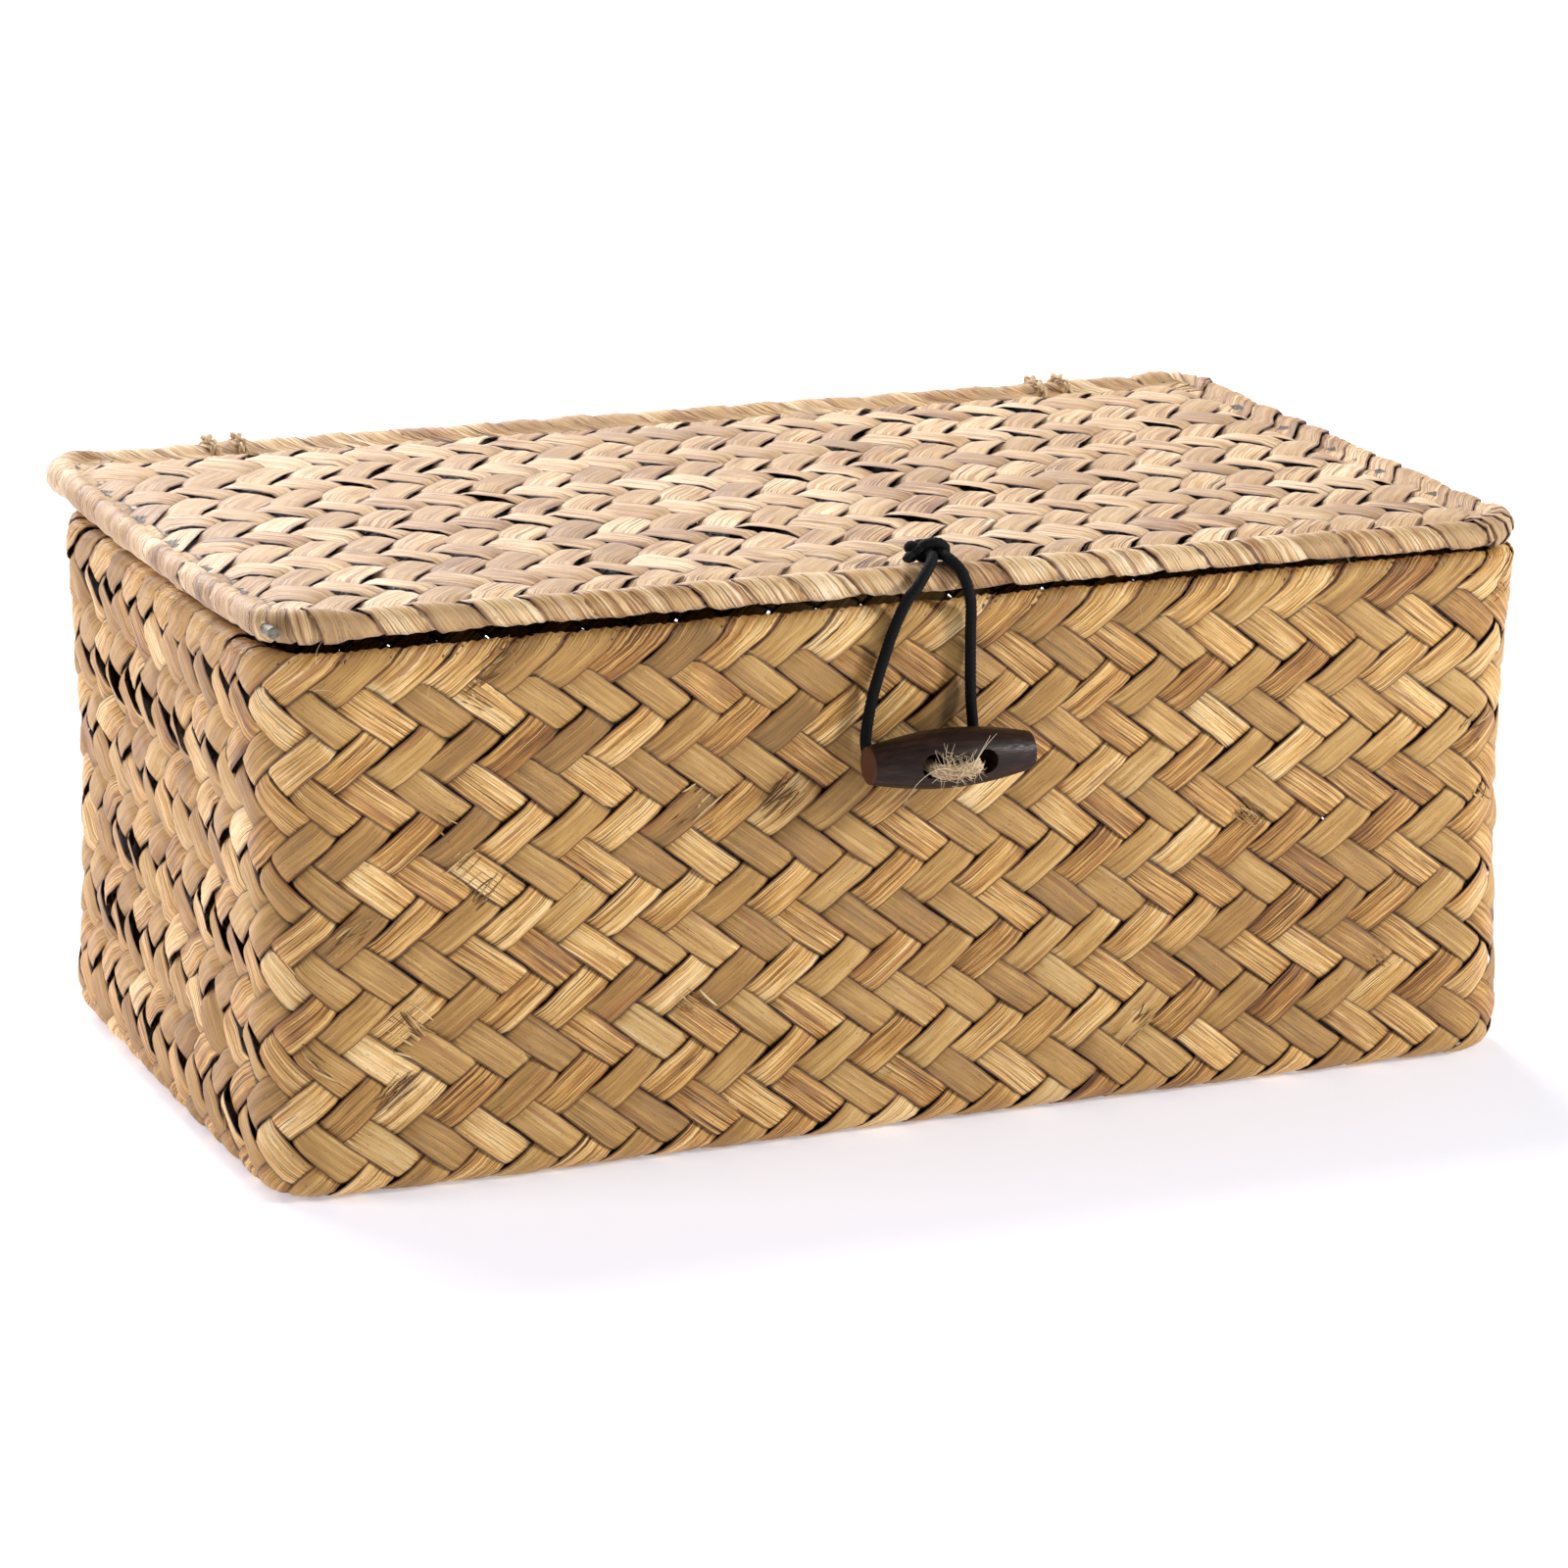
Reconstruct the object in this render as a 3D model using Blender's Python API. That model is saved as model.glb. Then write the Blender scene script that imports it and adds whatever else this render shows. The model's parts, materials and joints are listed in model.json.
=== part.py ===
"""Rectangular basket plaited from leaf strips over wire rims, with a tied-on lid and a toggle closure.

Metres, +Z up. The origin is the centre of the base, on the surface that the basket stands on. The front,
with the toggle, faces -Y, and +X is on the right as seen from the front. The plaited walls and lid are
plain closed shells of their true thickness, with the edge rolled round its wire as an open channel.
"""

import math

import bpy
from mathutils import Vector

# Driving sizes
BODY_WIDTH = 0.300
BODY_DEPTH = 0.162
BODY_HEIGHT = 0.120
BODY_CORNER_RADIUS = 0.016
FIT_GAP = 0.0003  # between pieces that touch

# The plaited shell
WALL_THICKNESS = 0.0020
BASE_FILLET = 0.0060
WAIST = 0.0022  # how far the walls draw in halfway up
WALL_STEPS = 8
CORNER_SEGMENTS = 6
ARC_STEP = math.radians(30)

# The wires, and the rolled edges round them
WIRE_RADIUS = 0.0017
CHANNEL_RADIUS = WIRE_RADIUS + FIT_GAP
ROLL_RADIUS = 0.0033
WIRE_BUTT_GAP = 0.002
BODY_LIP_ANGLE = math.radians(230)
LID_LIP_ANGLE = math.radians(-120)

# The lid
LID_BACK_OVERHANG = 0.006
LID_CORNER_RADIUS = 0.014
LID_BACK_RISE = 0.004  # gap that the lid keeps over the body's rim along its back
LID_FRONT_RISE = 0.002  # the same at its front left corner; the front right corner droops onto the rim
PANEL_DROP = 0.0008  # panel below the top of its rolled edge
PANEL_INSETS = (0.0066, 0.020, 0.040, 0.060, 0.076)

# The closure
TOGGLE_LENGTH = 0.0385
TOGGLE_MIDDLE_RADIUS = 0.0065
TOGGLE_END_RADIUS = 0.0041
TOGGLE_SWELL = 0.9  # power of the sine that the spindle's outline follows
TOGGLE_SIDES = 20
TOGGLE_HEIGHT = 0.0880
TOGGLE_STANDOFF = 0.0042  # from the wall to the back of the toggle
TOGGLE_STATIONS = 17
TOGGLE_HOLE_OFFSET = 0.0062
TOGGLE_HOLE_RADIUS = 0.0027
LASHING_RADIUS = 0.0019
# Shares of the hole offset and of the depth, at the two points that round each bend
LASHING_SHOULDERS = ((0.65, 0.985), (1.0, 0.72))
LASHING_DROP = 0.0004
SHANK_RADIUS = 0.0018
INNER_KNOT_RADII = (0.0036, 0.0030, 0.0034)
ELASTIC_RADIUS = 0.00125
ELASTIC_KNOT_X = 0.0022
ELASTIC_KNOT_INSET = 0.0068
ELASTIC_KNOT_RADII = (0.0045, 0.0027, 0.0026)
ELASTIC_STEM_INSET = 0.0078
STOPPER_RADIUS = 0.0021

# The lashings that hinge the lid
TIE_X = 0.107
TIE_RADIUS = 0.0013
TIE_WRAP_SPACING = 0.007
TIE_KNOT_RADIUS = 0.0026
TIE_KNOT_INSET = 0.0110
TIE_KNOT_DROP = 0.0115

# Worked out from the sizes above
FRONT = -BODY_DEPTH / 2
BACK = BODY_DEPTH / 2
LID_BACK = BACK + LID_BACK_OVERHANG
LID_DEPTH = BODY_DEPTH + LID_BACK_OVERHANG
LID_CENTRE_Y = (FRONT + LID_BACK) / 2
LID_BOTTOM = BODY_HEIGHT + FIT_GAP
LID_ROLL_Z = LID_BOTTOM + ROLL_RADIUS
PANEL_TOP = LID_BOTTOM + 2 * ROLL_RADIUS - PANEL_DROP
TOGGLE_Y = FRONT - TOGGLE_STANDOFF - TOGGLE_MIDDLE_RADIUS


def clear_scene():
    for obj in list(bpy.data.objects):
        bpy.data.objects.remove(obj)


def material(name, colour, roughness, metallic=0.0):
    made = bpy.data.materials.new(name)
    made.use_nodes = True
    shader = made.node_tree.nodes["Principled BSDF"]
    shader.inputs["Base Color"].default_value = (*colour, 1.0)
    shader.inputs["Roughness"].default_value = roughness
    shader.inputs["Metallic"].default_value = metallic
    return made


def leaf_strip_material(name, colour):
    return material(name, colour, roughness=0.65)


def wire_material(name):
    return material(name, (0.62, 0.62, 0.60), roughness=0.40, metallic=1.0)


def twine_material(name):
    return material(name, (0.60, 0.45, 0.27), roughness=0.90)


def toggle_material():
    return material("dark_wood", (0.06, 0.028, 0.018), roughness=0.45)


def elastic_material(name):
    return material(name, (0.012, 0.012, 0.014), roughness=0.85)


def mesh_object(name, points, faces, made_of=None):
    mesh = bpy.data.meshes.new(name)
    mesh.from_pydata(points, [], faces)
    mesh.update()
    mesh.shade_smooth()
    mesh.set_sharp_from_angle(angle=math.radians(40))
    obj = bpy.data.objects.new(name, mesh)
    bpy.context.scene.collection.objects.link(obj)
    if made_of:
        mesh.materials.append(made_of)
    return obj


def loft(name, rings, made_of=None, cyclic=False):
    """Skins rings of equal point count, in order, and closes the first and last with a face unless cyclic."""
    count = len(rings[0])
    points = [tuple(point) for ring in rings for point in ring]
    faces = []
    steps = len(rings) if cyclic else len(rings) - 1
    for i in range(steps):
        low = i * count
        high = ((i + 1) % len(rings)) * count
        for j in range(count):
            k = (j + 1) % count
            faces.append((low + j, low + k, high + k, high + j))
    if not cyclic:
        faces.append(tuple(reversed(range(count))))
        faces.append(tuple(range(len(points) - count, len(points))))
    return mesh_object(name, points, faces, made_of)


def rounded_rectangle(half_x, half_y, radius, centre_y=0.0):
    """Points of a rounded rectangle, anticlockwise from above, from the middle of the front left corner."""
    corners = ((1, -1, -90), (1, 1, 0), (-1, 1, 90), (-1, -1, 180))
    outline = []
    for sign_x, sign_y, start in corners:
        for step in range(CORNER_SEGMENTS + 1):
            angle = math.radians(start + 90 * step / CORNER_SEGMENTS)
            x = sign_x * (half_x - radius) + radius * math.cos(angle)
            y = centre_y + sign_y * (half_y - radius) + radius * math.sin(angle)
            outline.append((x, y))
    half_corner = CORNER_SEGMENTS // 2 + 1
    return outline[-half_corner:] + outline[:-half_corner]


def body_outline(inset):
    corner = max(BODY_CORNER_RADIUS - inset, FIT_GAP)
    return rounded_rectangle(BODY_WIDTH / 2 - inset, BODY_DEPTH / 2 - inset, corner)


def body_ring(inset, z):
    return [(x, y, z) for x, y in body_outline(inset)]


def lid_outline(inset):
    corner = max(LID_CORNER_RADIUS - inset, WALL_THICKNESS)
    return rounded_rectangle(BODY_WIDTH / 2 - inset, LID_DEPTH / 2 - inset, corner, LID_CENTRE_Y)


def lid_rise(x, y):
    """Height of the lid over the rim: highest along the back, and falling to nothing at the front right."""
    towards_front = (LID_BACK - y) / LID_DEPTH
    towards_right = x / BODY_WIDTH + 0.5
    return LID_BACK_RISE * (1 - towards_front) + LID_FRONT_RISE * towards_front * (1 - towards_right)


def lid_ring(inset, z):
    return [(x, y, z + lid_rise(x, y)) for x, y in lid_outline(inset)]


def arc(start, end):
    """Angles from start to end, about ARC_STEP apart. 0 points out of the basket, and 90 degrees up."""
    steps = max(1, round(abs(end - start) / ARC_STEP))
    return [start + (end - start) * i / steps for i in range(steps + 1)]


def rolled(radius, angle, centre_z):
    """(inset, z) of a point on the rolled edge's section."""
    return ROLL_RADIUS - radius * math.cos(angle), centre_z + radius * math.sin(angle)


def waist_inset(z):
    top = BODY_HEIGHT - ROLL_RADIUS
    share = (z - BASE_FILLET) / (top - BASE_FILLET)
    return WAIST * math.sin(math.pi * share)


def body_profile():
    """(inset, z) from the underside, up the outside, round the rim's channel and down the inside."""
    inner_fillet = BASE_FILLET - WALL_THICKNESS
    roll_z = BODY_HEIGHT - ROLL_RADIUS
    channel_end = -math.acos((ROLL_RADIUS - WALL_THICKNESS) / CHANNEL_RADIUS)
    outer = []
    for angle in arc(math.radians(-90), 0):
        outer.append((BASE_FILLET * (1 - math.cos(angle)), BASE_FILLET * (1 + math.sin(angle))))
    heights = [BASE_FILLET + (roll_z - BASE_FILLET) * i / WALL_STEPS for i in range(1, WALL_STEPS)]
    outer += [(waist_inset(z), z) for z in heights]
    roll = [rolled(ROLL_RADIUS, angle, roll_z) for angle in arc(0, BODY_LIP_ANGLE)]
    channel = [rolled(CHANNEL_RADIUS, angle, roll_z) for angle in arc(BODY_LIP_ANGLE, channel_end)]
    inner = [(WALL_THICKNESS + waist_inset(z), z) for z in reversed(heights)]
    for angle in arc(0, math.radians(-90)):
        inset = WALL_THICKNESS + inner_fillet * (1 - math.cos(angle))
        inner.append((inset, BASE_FILLET + inner_fillet * math.sin(angle)))
    return outer + roll + channel + inner


def lid_profile():
    """(inset, z) from the top of the panel, out round the rolled edge and its channel, to the underside."""
    panel_bottom = PANEL_TOP - WALL_THICKNESS
    roll_start = math.pi - math.asin((PANEL_TOP - LID_ROLL_Z) / ROLL_RADIUS)
    channel_end = math.pi - math.asin((panel_bottom - LID_ROLL_Z) / CHANNEL_RADIUS)
    top = [(inset, PANEL_TOP) for inset in reversed(PANEL_INSETS)]
    roll = [rolled(ROLL_RADIUS, angle, LID_ROLL_Z) for angle in arc(roll_start, LID_LIP_ANGLE)]
    channel = [rolled(CHANNEL_RADIUS, angle, LID_ROLL_Z) for angle in arc(LID_LIP_ANGLE, channel_end)]
    underside = [(inset, panel_bottom) for inset in PANEL_INSETS]
    return top + roll + channel + underside


def cut(target, cutter, operation="DIFFERENCE"):
    cutter.hide_render = True
    cutter.display_type = "WIRE"
    modifier = target.modifiers.new(cutter.name, "BOOLEAN")
    modifier.operation = operation
    modifier.object = cutter


def box_guide(name, centre, size):
    """A closed box, for cutting a slot."""
    x, y, z = (length / 2 for length in size)
    corners = ((-x, -y), (x, -y), (x, y), (-x, y))
    rings = [[(centre[0] + a, centre[1] + b, centre[2] + h) for a, b in corners] for h in (-z, z)]
    return loft(name, rings)


def tube_rings(route, radius, sides, cyclic=False):
    """Round sections along a route, square to it, carried from one point to the next without twist."""
    count = len(route)
    rings = []
    normal = None
    for i, point in enumerate(route):
        before = route[i - 1] if cyclic or i else point
        after = route[(i + 1) % count] if cyclic or i < count - 1 else point
        along = (after - before).normalized()
        if normal is None:
            normal = along.orthogonal()
        normal = (normal - along * normal.dot(along)).normalized()
        across = along.cross(normal)
        angles = [2 * math.pi * k / sides for k in range(sides)]
        rings.append([point + radius * (math.cos(a) * normal + math.sin(a) * across) for a in angles])
    return rings


def tube(name, route, radius, made_of=None, sides=10, cyclic=False):
    return loft(name, tube_rings(route, radius, sides, cyclic), made_of, cyclic)


def ellipsoid(name, centre, radii, made_of=None, rows=8, sides=12):
    rings = []
    for row in range(1, rows):
        angle = math.pi * row / rows
        ring = []
        for k in range(sides):
            turn = 2 * math.pi * k / sides
            flat = math.sin(angle)
            ring.append(
                (
                    centre[0] + radii[0] * flat * math.cos(turn),
                    centre[1] + radii[1] * flat * math.sin(turn),
                    centre[2] - radii[2] * math.cos(angle),
                )
            )
        rings.append(ring)
    return loft(name, rings, made_of)


def smooth_route(points, steps):
    """A Catmull-Rom curve through the points, with so many steps between each two."""
    ends = [points[0] * 2 - points[1]] + points + [points[-1] * 2 - points[-2]]
    route = []
    for a, b, c, d in zip(ends, ends[1:], ends[2:], ends[3:]):
        for step in range(steps):
            t = step / steps
            square = 2 * a - 5 * b + 4 * c - d
            cube = 3 * b - a - 3 * c + d
            route.append(0.5 * (2 * b + (c - a) * t + square * t**2 + cube * t**3))
    route.append(points[-1])
    return route


def curve_tube(name, route, radius, made_of):
    """A round wire or cord along a route, as a curve with a bevel and filled caps."""
    curve = bpy.data.curves.new(name, "CURVE")
    curve.dimensions = "3D"
    curve.bevel_depth = radius
    curve.bevel_resolution = 3
    curve.use_fill_caps = True
    spline = curve.splines.new("POLY")
    spline.points.add(len(route) - 1)
    for point, place in zip(spline.points, route):
        point.co = (*place, 1.0)
    curve.materials.append(made_of)
    obj = bpy.data.objects.new(name, curve)
    bpy.context.scene.collection.objects.link(obj)
    return obj


def butted_loop(ring):
    """A ring's points as an open route, with its two ends WIRE_BUTT_GAP apart."""
    route = [Vector(point) for point in ring]
    first, second = route[0], route[1]
    start = first + (second - first).normalized() * WIRE_BUTT_GAP
    return [start] + route[1:] + [first]


def tie_slot_z():
    """Middle of the slots under the body's rolled edge that the lashings pass through."""
    lip = BODY_HEIGHT - ROLL_RADIUS + ROLL_RADIUS * math.sin(BODY_LIP_ANGLE)
    return lip - 3 * FIT_GAP - TIE_RADIUS


def tie_inner_y():
    """Where the lashings run up inside the body's rolled edge."""
    return BACK - 2 * ROLL_RADIUS - FIT_GAP - TIE_RADIUS


def lid_slot_y():
    """Where the lashings come down through the lid, just inside its rolled edge."""
    return LID_BACK - 2 * ROLL_RADIUS - 2 * FIT_GAP - TIE_RADIUS


def woven_body():
    rings = [body_ring(inset, z) for inset, z in body_profile()]
    body = loft("woven_body", rings, leaf_strip_material("leaf_strip_body", (0.50, 0.32, 0.14)))
    reach = 3 * WALL_THICKNESS
    shank = [Vector((0, FRONT + sign * reach, TOGGLE_HEIGHT)) for sign in (-1, 1)]
    cut(body, tube("shank_hole_cutter", shank, SHANK_RADIUS + 2 * FIT_GAP))
    slot = (TIE_WRAP_SPACING + 2 * TIE_RADIUS + 2 * FIT_GAP, BASE_FILLET, 2 * (TIE_RADIUS + FIT_GAP))
    for side, sign in (("left", -1), ("right", 1)):
        centre = (sign * TIE_X, BACK - WALL_THICKNESS / 2, tie_slot_z())
        cut(body, box_guide("body_slot_cutter_" + side, centre, slot))
    return body


def woven_lid():
    rings = [lid_ring(inset, z) for inset, z in lid_profile()]
    lid = loft("woven_lid", rings, leaf_strip_material("leaf_strip_lid", (0.66, 0.48, 0.28)))
    x = ELASTIC_KNOT_X
    y = FRONT + ELASTIC_STEM_INSET
    stem = [Vector((x, y, LID_BOTTOM)), Vector((x, y, LID_BOTTOM + 4 * ROLL_RADIUS))]
    cut(lid, tube("stem_hole_cutter", stem, ELASTIC_RADIUS + FIT_GAP))
    slot = (TIE_WRAP_SPACING + 2 * TIE_RADIUS + 2 * FIT_GAP, 3 * TIE_RADIUS, 3 * ROLL_RADIUS)
    for side, sign in (("left", -1), ("right", 1)):
        centre = (sign * TIE_X, lid_slot_y() - TIE_RADIUS / 2, PANEL_TOP + LID_BACK_RISE)
        cut(lid, box_guide("lid_slot_cutter_" + side, centre, slot))
    return lid


def body_rim_wire():
    ring = body_ring(ROLL_RADIUS, BODY_HEIGHT - ROLL_RADIUS)
    return curve_tube("body_rim_wire", butted_loop(ring), WIRE_RADIUS, wire_material("body_wire"))


def lid_rim_wire():
    ring = lid_ring(ROLL_RADIUS, LID_ROLL_Z)
    return curve_tube("lid_rim_wire", butted_loop(ring), WIRE_RADIUS, wire_material("lid_wire"))


def hinge_tie(side, sign):
    """Two turns of twine round both rims, through the lid and the wall, knotted inside."""
    diagonal = math.sin(math.radians(48))
    inner_y = tie_inner_y()
    slot_z = tie_slot_z()
    outer_y = LID_BACK + FIT_GAP + TIE_RADIUS
    roll_z = LID_ROLL_Z + LID_BACK_RISE
    reach = ROLL_RADIUS + FIT_GAP + TIE_RADIUS
    knot = Vector((sign * TIE_X, BACK - TIE_KNOT_INSET, BODY_HEIGHT - TIE_KNOT_DROP))
    route = [knot]
    for half_turn in (-0.5, 0.5):
        x = sign * TIE_X + half_turn * TIE_WRAP_SPACING
        section = (
            (inner_y + TIE_RADIUS, slot_z - FIT_GAP / 2),
            (BACK, slot_z),
            (BACK + 2 * TIE_RADIUS, slot_z + TIE_RADIUS),
            (outer_y - TIE_RADIUS / 2, BODY_HEIGHT),
            (outer_y + FIT_GAP, roll_z),
            (LID_BACK - ROLL_RADIUS + reach * diagonal, roll_z + reach * diagonal),
            (LID_BACK - ROLL_RADIUS, roll_z + reach + FIT_GAP),
            (lid_slot_y() + TIE_RADIUS / 4, roll_z + reach * diagonal),
            (lid_slot_y() - TIE_RADIUS / 4, roll_z),
            (inner_y + TIE_RADIUS, BODY_HEIGHT + 2 * TIE_RADIUS),
            (inner_y - FIT_GAP, BODY_HEIGHT - TIE_RADIUS),
            (inner_y - TIE_RADIUS, slot_z + 2 * TIE_RADIUS),
        )
        route += [Vector((x, y, z)) for y, z in section]
    route.append(knot)
    name = "hinge_tie_" + side
    tie = tube(name, smooth_route(route, 3), TIE_RADIUS, twine_material("twine_" + side), sides=8)
    cut(tie, ellipsoid(name + "_knot_guide", knot, [TIE_KNOT_RADIUS] * 3), "UNION")
    return tie


def toggle_radius(share):
    """Radius of the spindle at share of its length, 0 at one end and 1 at the other."""
    swell = math.sin(math.pi * share) ** TOGGLE_SWELL
    return TOGGLE_END_RADIUS + (TOGGLE_MIDDLE_RADIUS - TOGGLE_END_RADIUS) * swell


def toggle_bar():
    edge = FIT_GAP * 2
    rings = []
    stations = [(0.0, TOGGLE_END_RADIUS - edge)]
    stations += [
        (max(edge, min(TOGGLE_LENGTH - edge, TOGGLE_LENGTH * i / (TOGGLE_STATIONS - 1))), None)
        for i in range(TOGGLE_STATIONS)
    ]
    stations.append((TOGGLE_LENGTH, TOGGLE_END_RADIUS - edge))
    for along, radius in stations:
        radius = radius or toggle_radius(along / TOGGLE_LENGTH)
        x = along - TOGGLE_LENGTH / 2
        angles = [2 * math.pi * k / TOGGLE_SIDES for k in range(TOGGLE_SIDES)]
        rings.append([(x, radius * math.cos(a), radius * math.sin(a)) for a in angles])
    bar = loft("toggle_bar", rings, toggle_material())
    bar.location = (0, TOGGLE_Y, TOGGLE_HEIGHT)
    for side, sign in (("left", -1), ("right", 1)):
        x = sign * TOGGLE_HOLE_OFFSET
        reach = 2 * TOGGLE_MIDDLE_RADIUS
        route = [Vector((x, TOGGLE_Y + way * reach, TOGGLE_HEIGHT)) for way in (-1, 1)]
        cut(bar, tube("toggle_hole_cutter_" + side, route, TOGGLE_HOLE_RADIUS, sides=16))
    return bar


def toggle_lashing():
    """Twine through both holes of the toggle, whose ends run through the front wall to a knot inside."""
    front_y = -TOGGLE_MIDDLE_RADIUS - FIT_GAP - LASHING_RADIUS
    back_y = TOGGLE_MIDDLE_RADIUS + FIT_GAP + LASHING_RADIUS
    x = TOGGLE_HOLE_OFFSET
    front_bend = [(share * x, depth * front_y) for share, depth in LASHING_SHOULDERS]
    back_bend = [(share * x, depth * back_y) for share, depth in reversed(LASHING_SHOULDERS)]
    right_half = front_bend + [(x, 0)] + back_bend
    section = [(0, front_y)] + right_half + [(0, back_y)] + [(-a, b) for a, b in reversed(right_half)]
    z = TOGGLE_HEIGHT - LASHING_DROP
    route = [Vector((a, TOGGLE_Y + b, z)) for a, b in section]
    lashing = tube("toggle_lashing", route, LASHING_RADIUS, twine_material("twine_toggle"), cyclic=True)
    knot_y = FRONT + WALL_THICKNESS + WAIST + FIT_GAP + INNER_KNOT_RADII[1]
    shank = [Vector((0, TOGGLE_Y + back_y, z)), Vector((0, knot_y, z))]
    cut(lashing, tube("shank_guide", shank, SHANK_RADIUS), "UNION")
    cut(lashing, ellipsoid("inner_knot_guide", (0, knot_y, z), INNER_KNOT_RADII), "UNION")
    return lashing


def elastic_route():
    """The loop, from the knot on the lid, over its front edge, down behind the toggle and back up."""
    wall = FRONT - FIT_GAP - ELASTIC_RADIUS
    rim = wall - 2 * FIT_GAP
    points = (
        (0.0013, -0.0783, 0.1295),
        (0.0007, -0.0796, 0.1291),
        (-0.0005, -0.0811, 0.1281),
        (-0.0025, -0.0824, 0.1261),
        (-0.0044, rim, 0.1239),
        (-0.0065, rim, 0.1216),
        (-0.0089, wall, 0.1162),
        (-0.0110, wall, 0.1107),
        (-0.0139, wall, 0.1015),
        (-0.0153, wall, 0.0945),
        (-0.0155, wall, 0.0895),
        (-0.0134, wall, 0.0850),
        (-0.0075, wall, 0.0828),
        (0.0000, wall, 0.0822),
        (0.0062, wall, 0.0830),
        (0.0093, wall, 0.0858),
        (0.0099, wall, 0.0905),
        (0.0092, wall, 0.0980),
        (0.0089, wall, 0.1060),
        (0.0088, wall, 0.1130),
        (0.0085, rim, 0.1190),
        (0.0078, rim, 0.1225),
        (0.0067, -0.0824, 0.1261),
        (0.0054, -0.0811, 0.1281),
        (0.0044, -0.0796, 0.1291),
        (0.0041, -0.0783, 0.1295),
    )
    return smooth_route([Vector(point) for point in points], 2)


def elastic_loop():
    return curve_tube("elastic_loop", elastic_route(), ELASTIC_RADIUS, elastic_material("elastic_loop"))


def elastic_knot():
    """The knotted ends on the lid, with a stem through the plaiting and a stopper knot under it."""
    x = ELASTIC_KNOT_X
    stem_y = FRONT + ELASTIC_STEM_INSET
    panel_top = PANEL_TOP + lid_rise(x, stem_y)
    knot_z = panel_top + FIT_GAP + ELASTIC_KNOT_RADII[2]
    centre = Vector((x, FRONT + ELASTIC_KNOT_INSET, knot_z))
    top = Vector((x, stem_y, knot_z))
    bottom = Vector((x, stem_y, panel_top - WALL_THICKNESS - FIT_GAP - STOPPER_RADIUS))
    knot = ellipsoid("elastic_knot", centre, ELASTIC_KNOT_RADII, elastic_material("elastic_knot"))
    cut(knot, tube("stem_guide", [bottom, top], ELASTIC_RADIUS), "UNION")
    cut(knot, ellipsoid("stopper_guide", bottom, [STOPPER_RADIUS] * 3), "UNION")
    return knot


def main():
    clear_scene()
    woven_body()
    body_rim_wire()
    woven_lid()
    lid_rim_wire()
    hinge_tie("left", -1)
    hinge_tie("right", 1)
    toggle_bar()
    toggle_lashing()
    elastic_loop()
    elastic_knot()


main()
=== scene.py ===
"""Looks for the plaited basket: every leaf strip is a ribbon of its own, laid over and under the others.

Metres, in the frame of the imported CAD: +Z up, the front with the toggle faces -Y, +X is on the right.
The walls, the base and the lid are each mapped from a flat plan (u, v) to their curved surface. A strip is a
straight ribbon on that plan, which rises and dips as it crosses the other strips.
"""

import json
import math

import bpy
import numpy as np
from mathutils import Matrix, Quaternion, Vector

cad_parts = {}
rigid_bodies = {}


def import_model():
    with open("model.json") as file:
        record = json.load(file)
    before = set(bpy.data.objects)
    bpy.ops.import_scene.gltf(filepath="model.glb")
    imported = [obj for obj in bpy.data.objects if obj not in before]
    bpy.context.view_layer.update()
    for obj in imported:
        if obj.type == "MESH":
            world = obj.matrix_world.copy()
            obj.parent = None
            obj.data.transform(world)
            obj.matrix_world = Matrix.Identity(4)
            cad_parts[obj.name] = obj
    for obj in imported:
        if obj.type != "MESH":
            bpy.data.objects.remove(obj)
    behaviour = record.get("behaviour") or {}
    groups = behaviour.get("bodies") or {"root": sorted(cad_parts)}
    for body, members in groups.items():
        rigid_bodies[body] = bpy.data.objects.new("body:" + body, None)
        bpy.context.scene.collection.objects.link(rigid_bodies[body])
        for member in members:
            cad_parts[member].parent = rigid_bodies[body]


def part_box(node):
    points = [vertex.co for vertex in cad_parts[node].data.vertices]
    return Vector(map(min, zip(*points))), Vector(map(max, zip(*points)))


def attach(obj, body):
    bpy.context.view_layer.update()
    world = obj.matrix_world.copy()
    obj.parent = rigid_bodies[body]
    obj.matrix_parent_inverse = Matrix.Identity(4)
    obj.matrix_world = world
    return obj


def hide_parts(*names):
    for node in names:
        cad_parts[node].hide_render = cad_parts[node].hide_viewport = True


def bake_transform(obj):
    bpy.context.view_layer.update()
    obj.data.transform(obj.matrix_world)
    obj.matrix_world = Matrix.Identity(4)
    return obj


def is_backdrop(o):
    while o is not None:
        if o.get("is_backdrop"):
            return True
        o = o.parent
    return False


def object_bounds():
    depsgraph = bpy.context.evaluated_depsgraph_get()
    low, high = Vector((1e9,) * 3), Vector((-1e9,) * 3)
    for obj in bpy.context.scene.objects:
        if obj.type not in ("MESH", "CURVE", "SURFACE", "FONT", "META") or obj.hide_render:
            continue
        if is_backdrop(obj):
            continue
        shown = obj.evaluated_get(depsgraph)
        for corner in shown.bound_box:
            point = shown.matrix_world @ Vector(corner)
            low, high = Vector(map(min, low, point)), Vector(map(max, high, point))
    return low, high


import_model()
CAD_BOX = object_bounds()

# ---------------- sizes from the frame
BODY_LOW, BODY_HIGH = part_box("woven_body")
LID_LOW, LID_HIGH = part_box("woven_lid")
TOGGLE_LOW, TOGGLE_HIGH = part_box("toggle_bar")
LASHING_LOW, LASHING_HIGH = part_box("toggle_lashing")

BODY_WIDTH = BODY_HIGH[0] - BODY_LOW[0]
BODY_DEPTH = BODY_HIGH[1] - BODY_LOW[1]
BODY_HEIGHT = BODY_HIGH[2]
FRONT = BODY_LOW[1]
BACK = BODY_HIGH[1]
LID_BACK = LID_HIGH[1]
LID_DEPTH = LID_BACK - LID_LOW[1]
LID_CENTRE_Y = (LID_BACK + LID_LOW[1]) / 2

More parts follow.
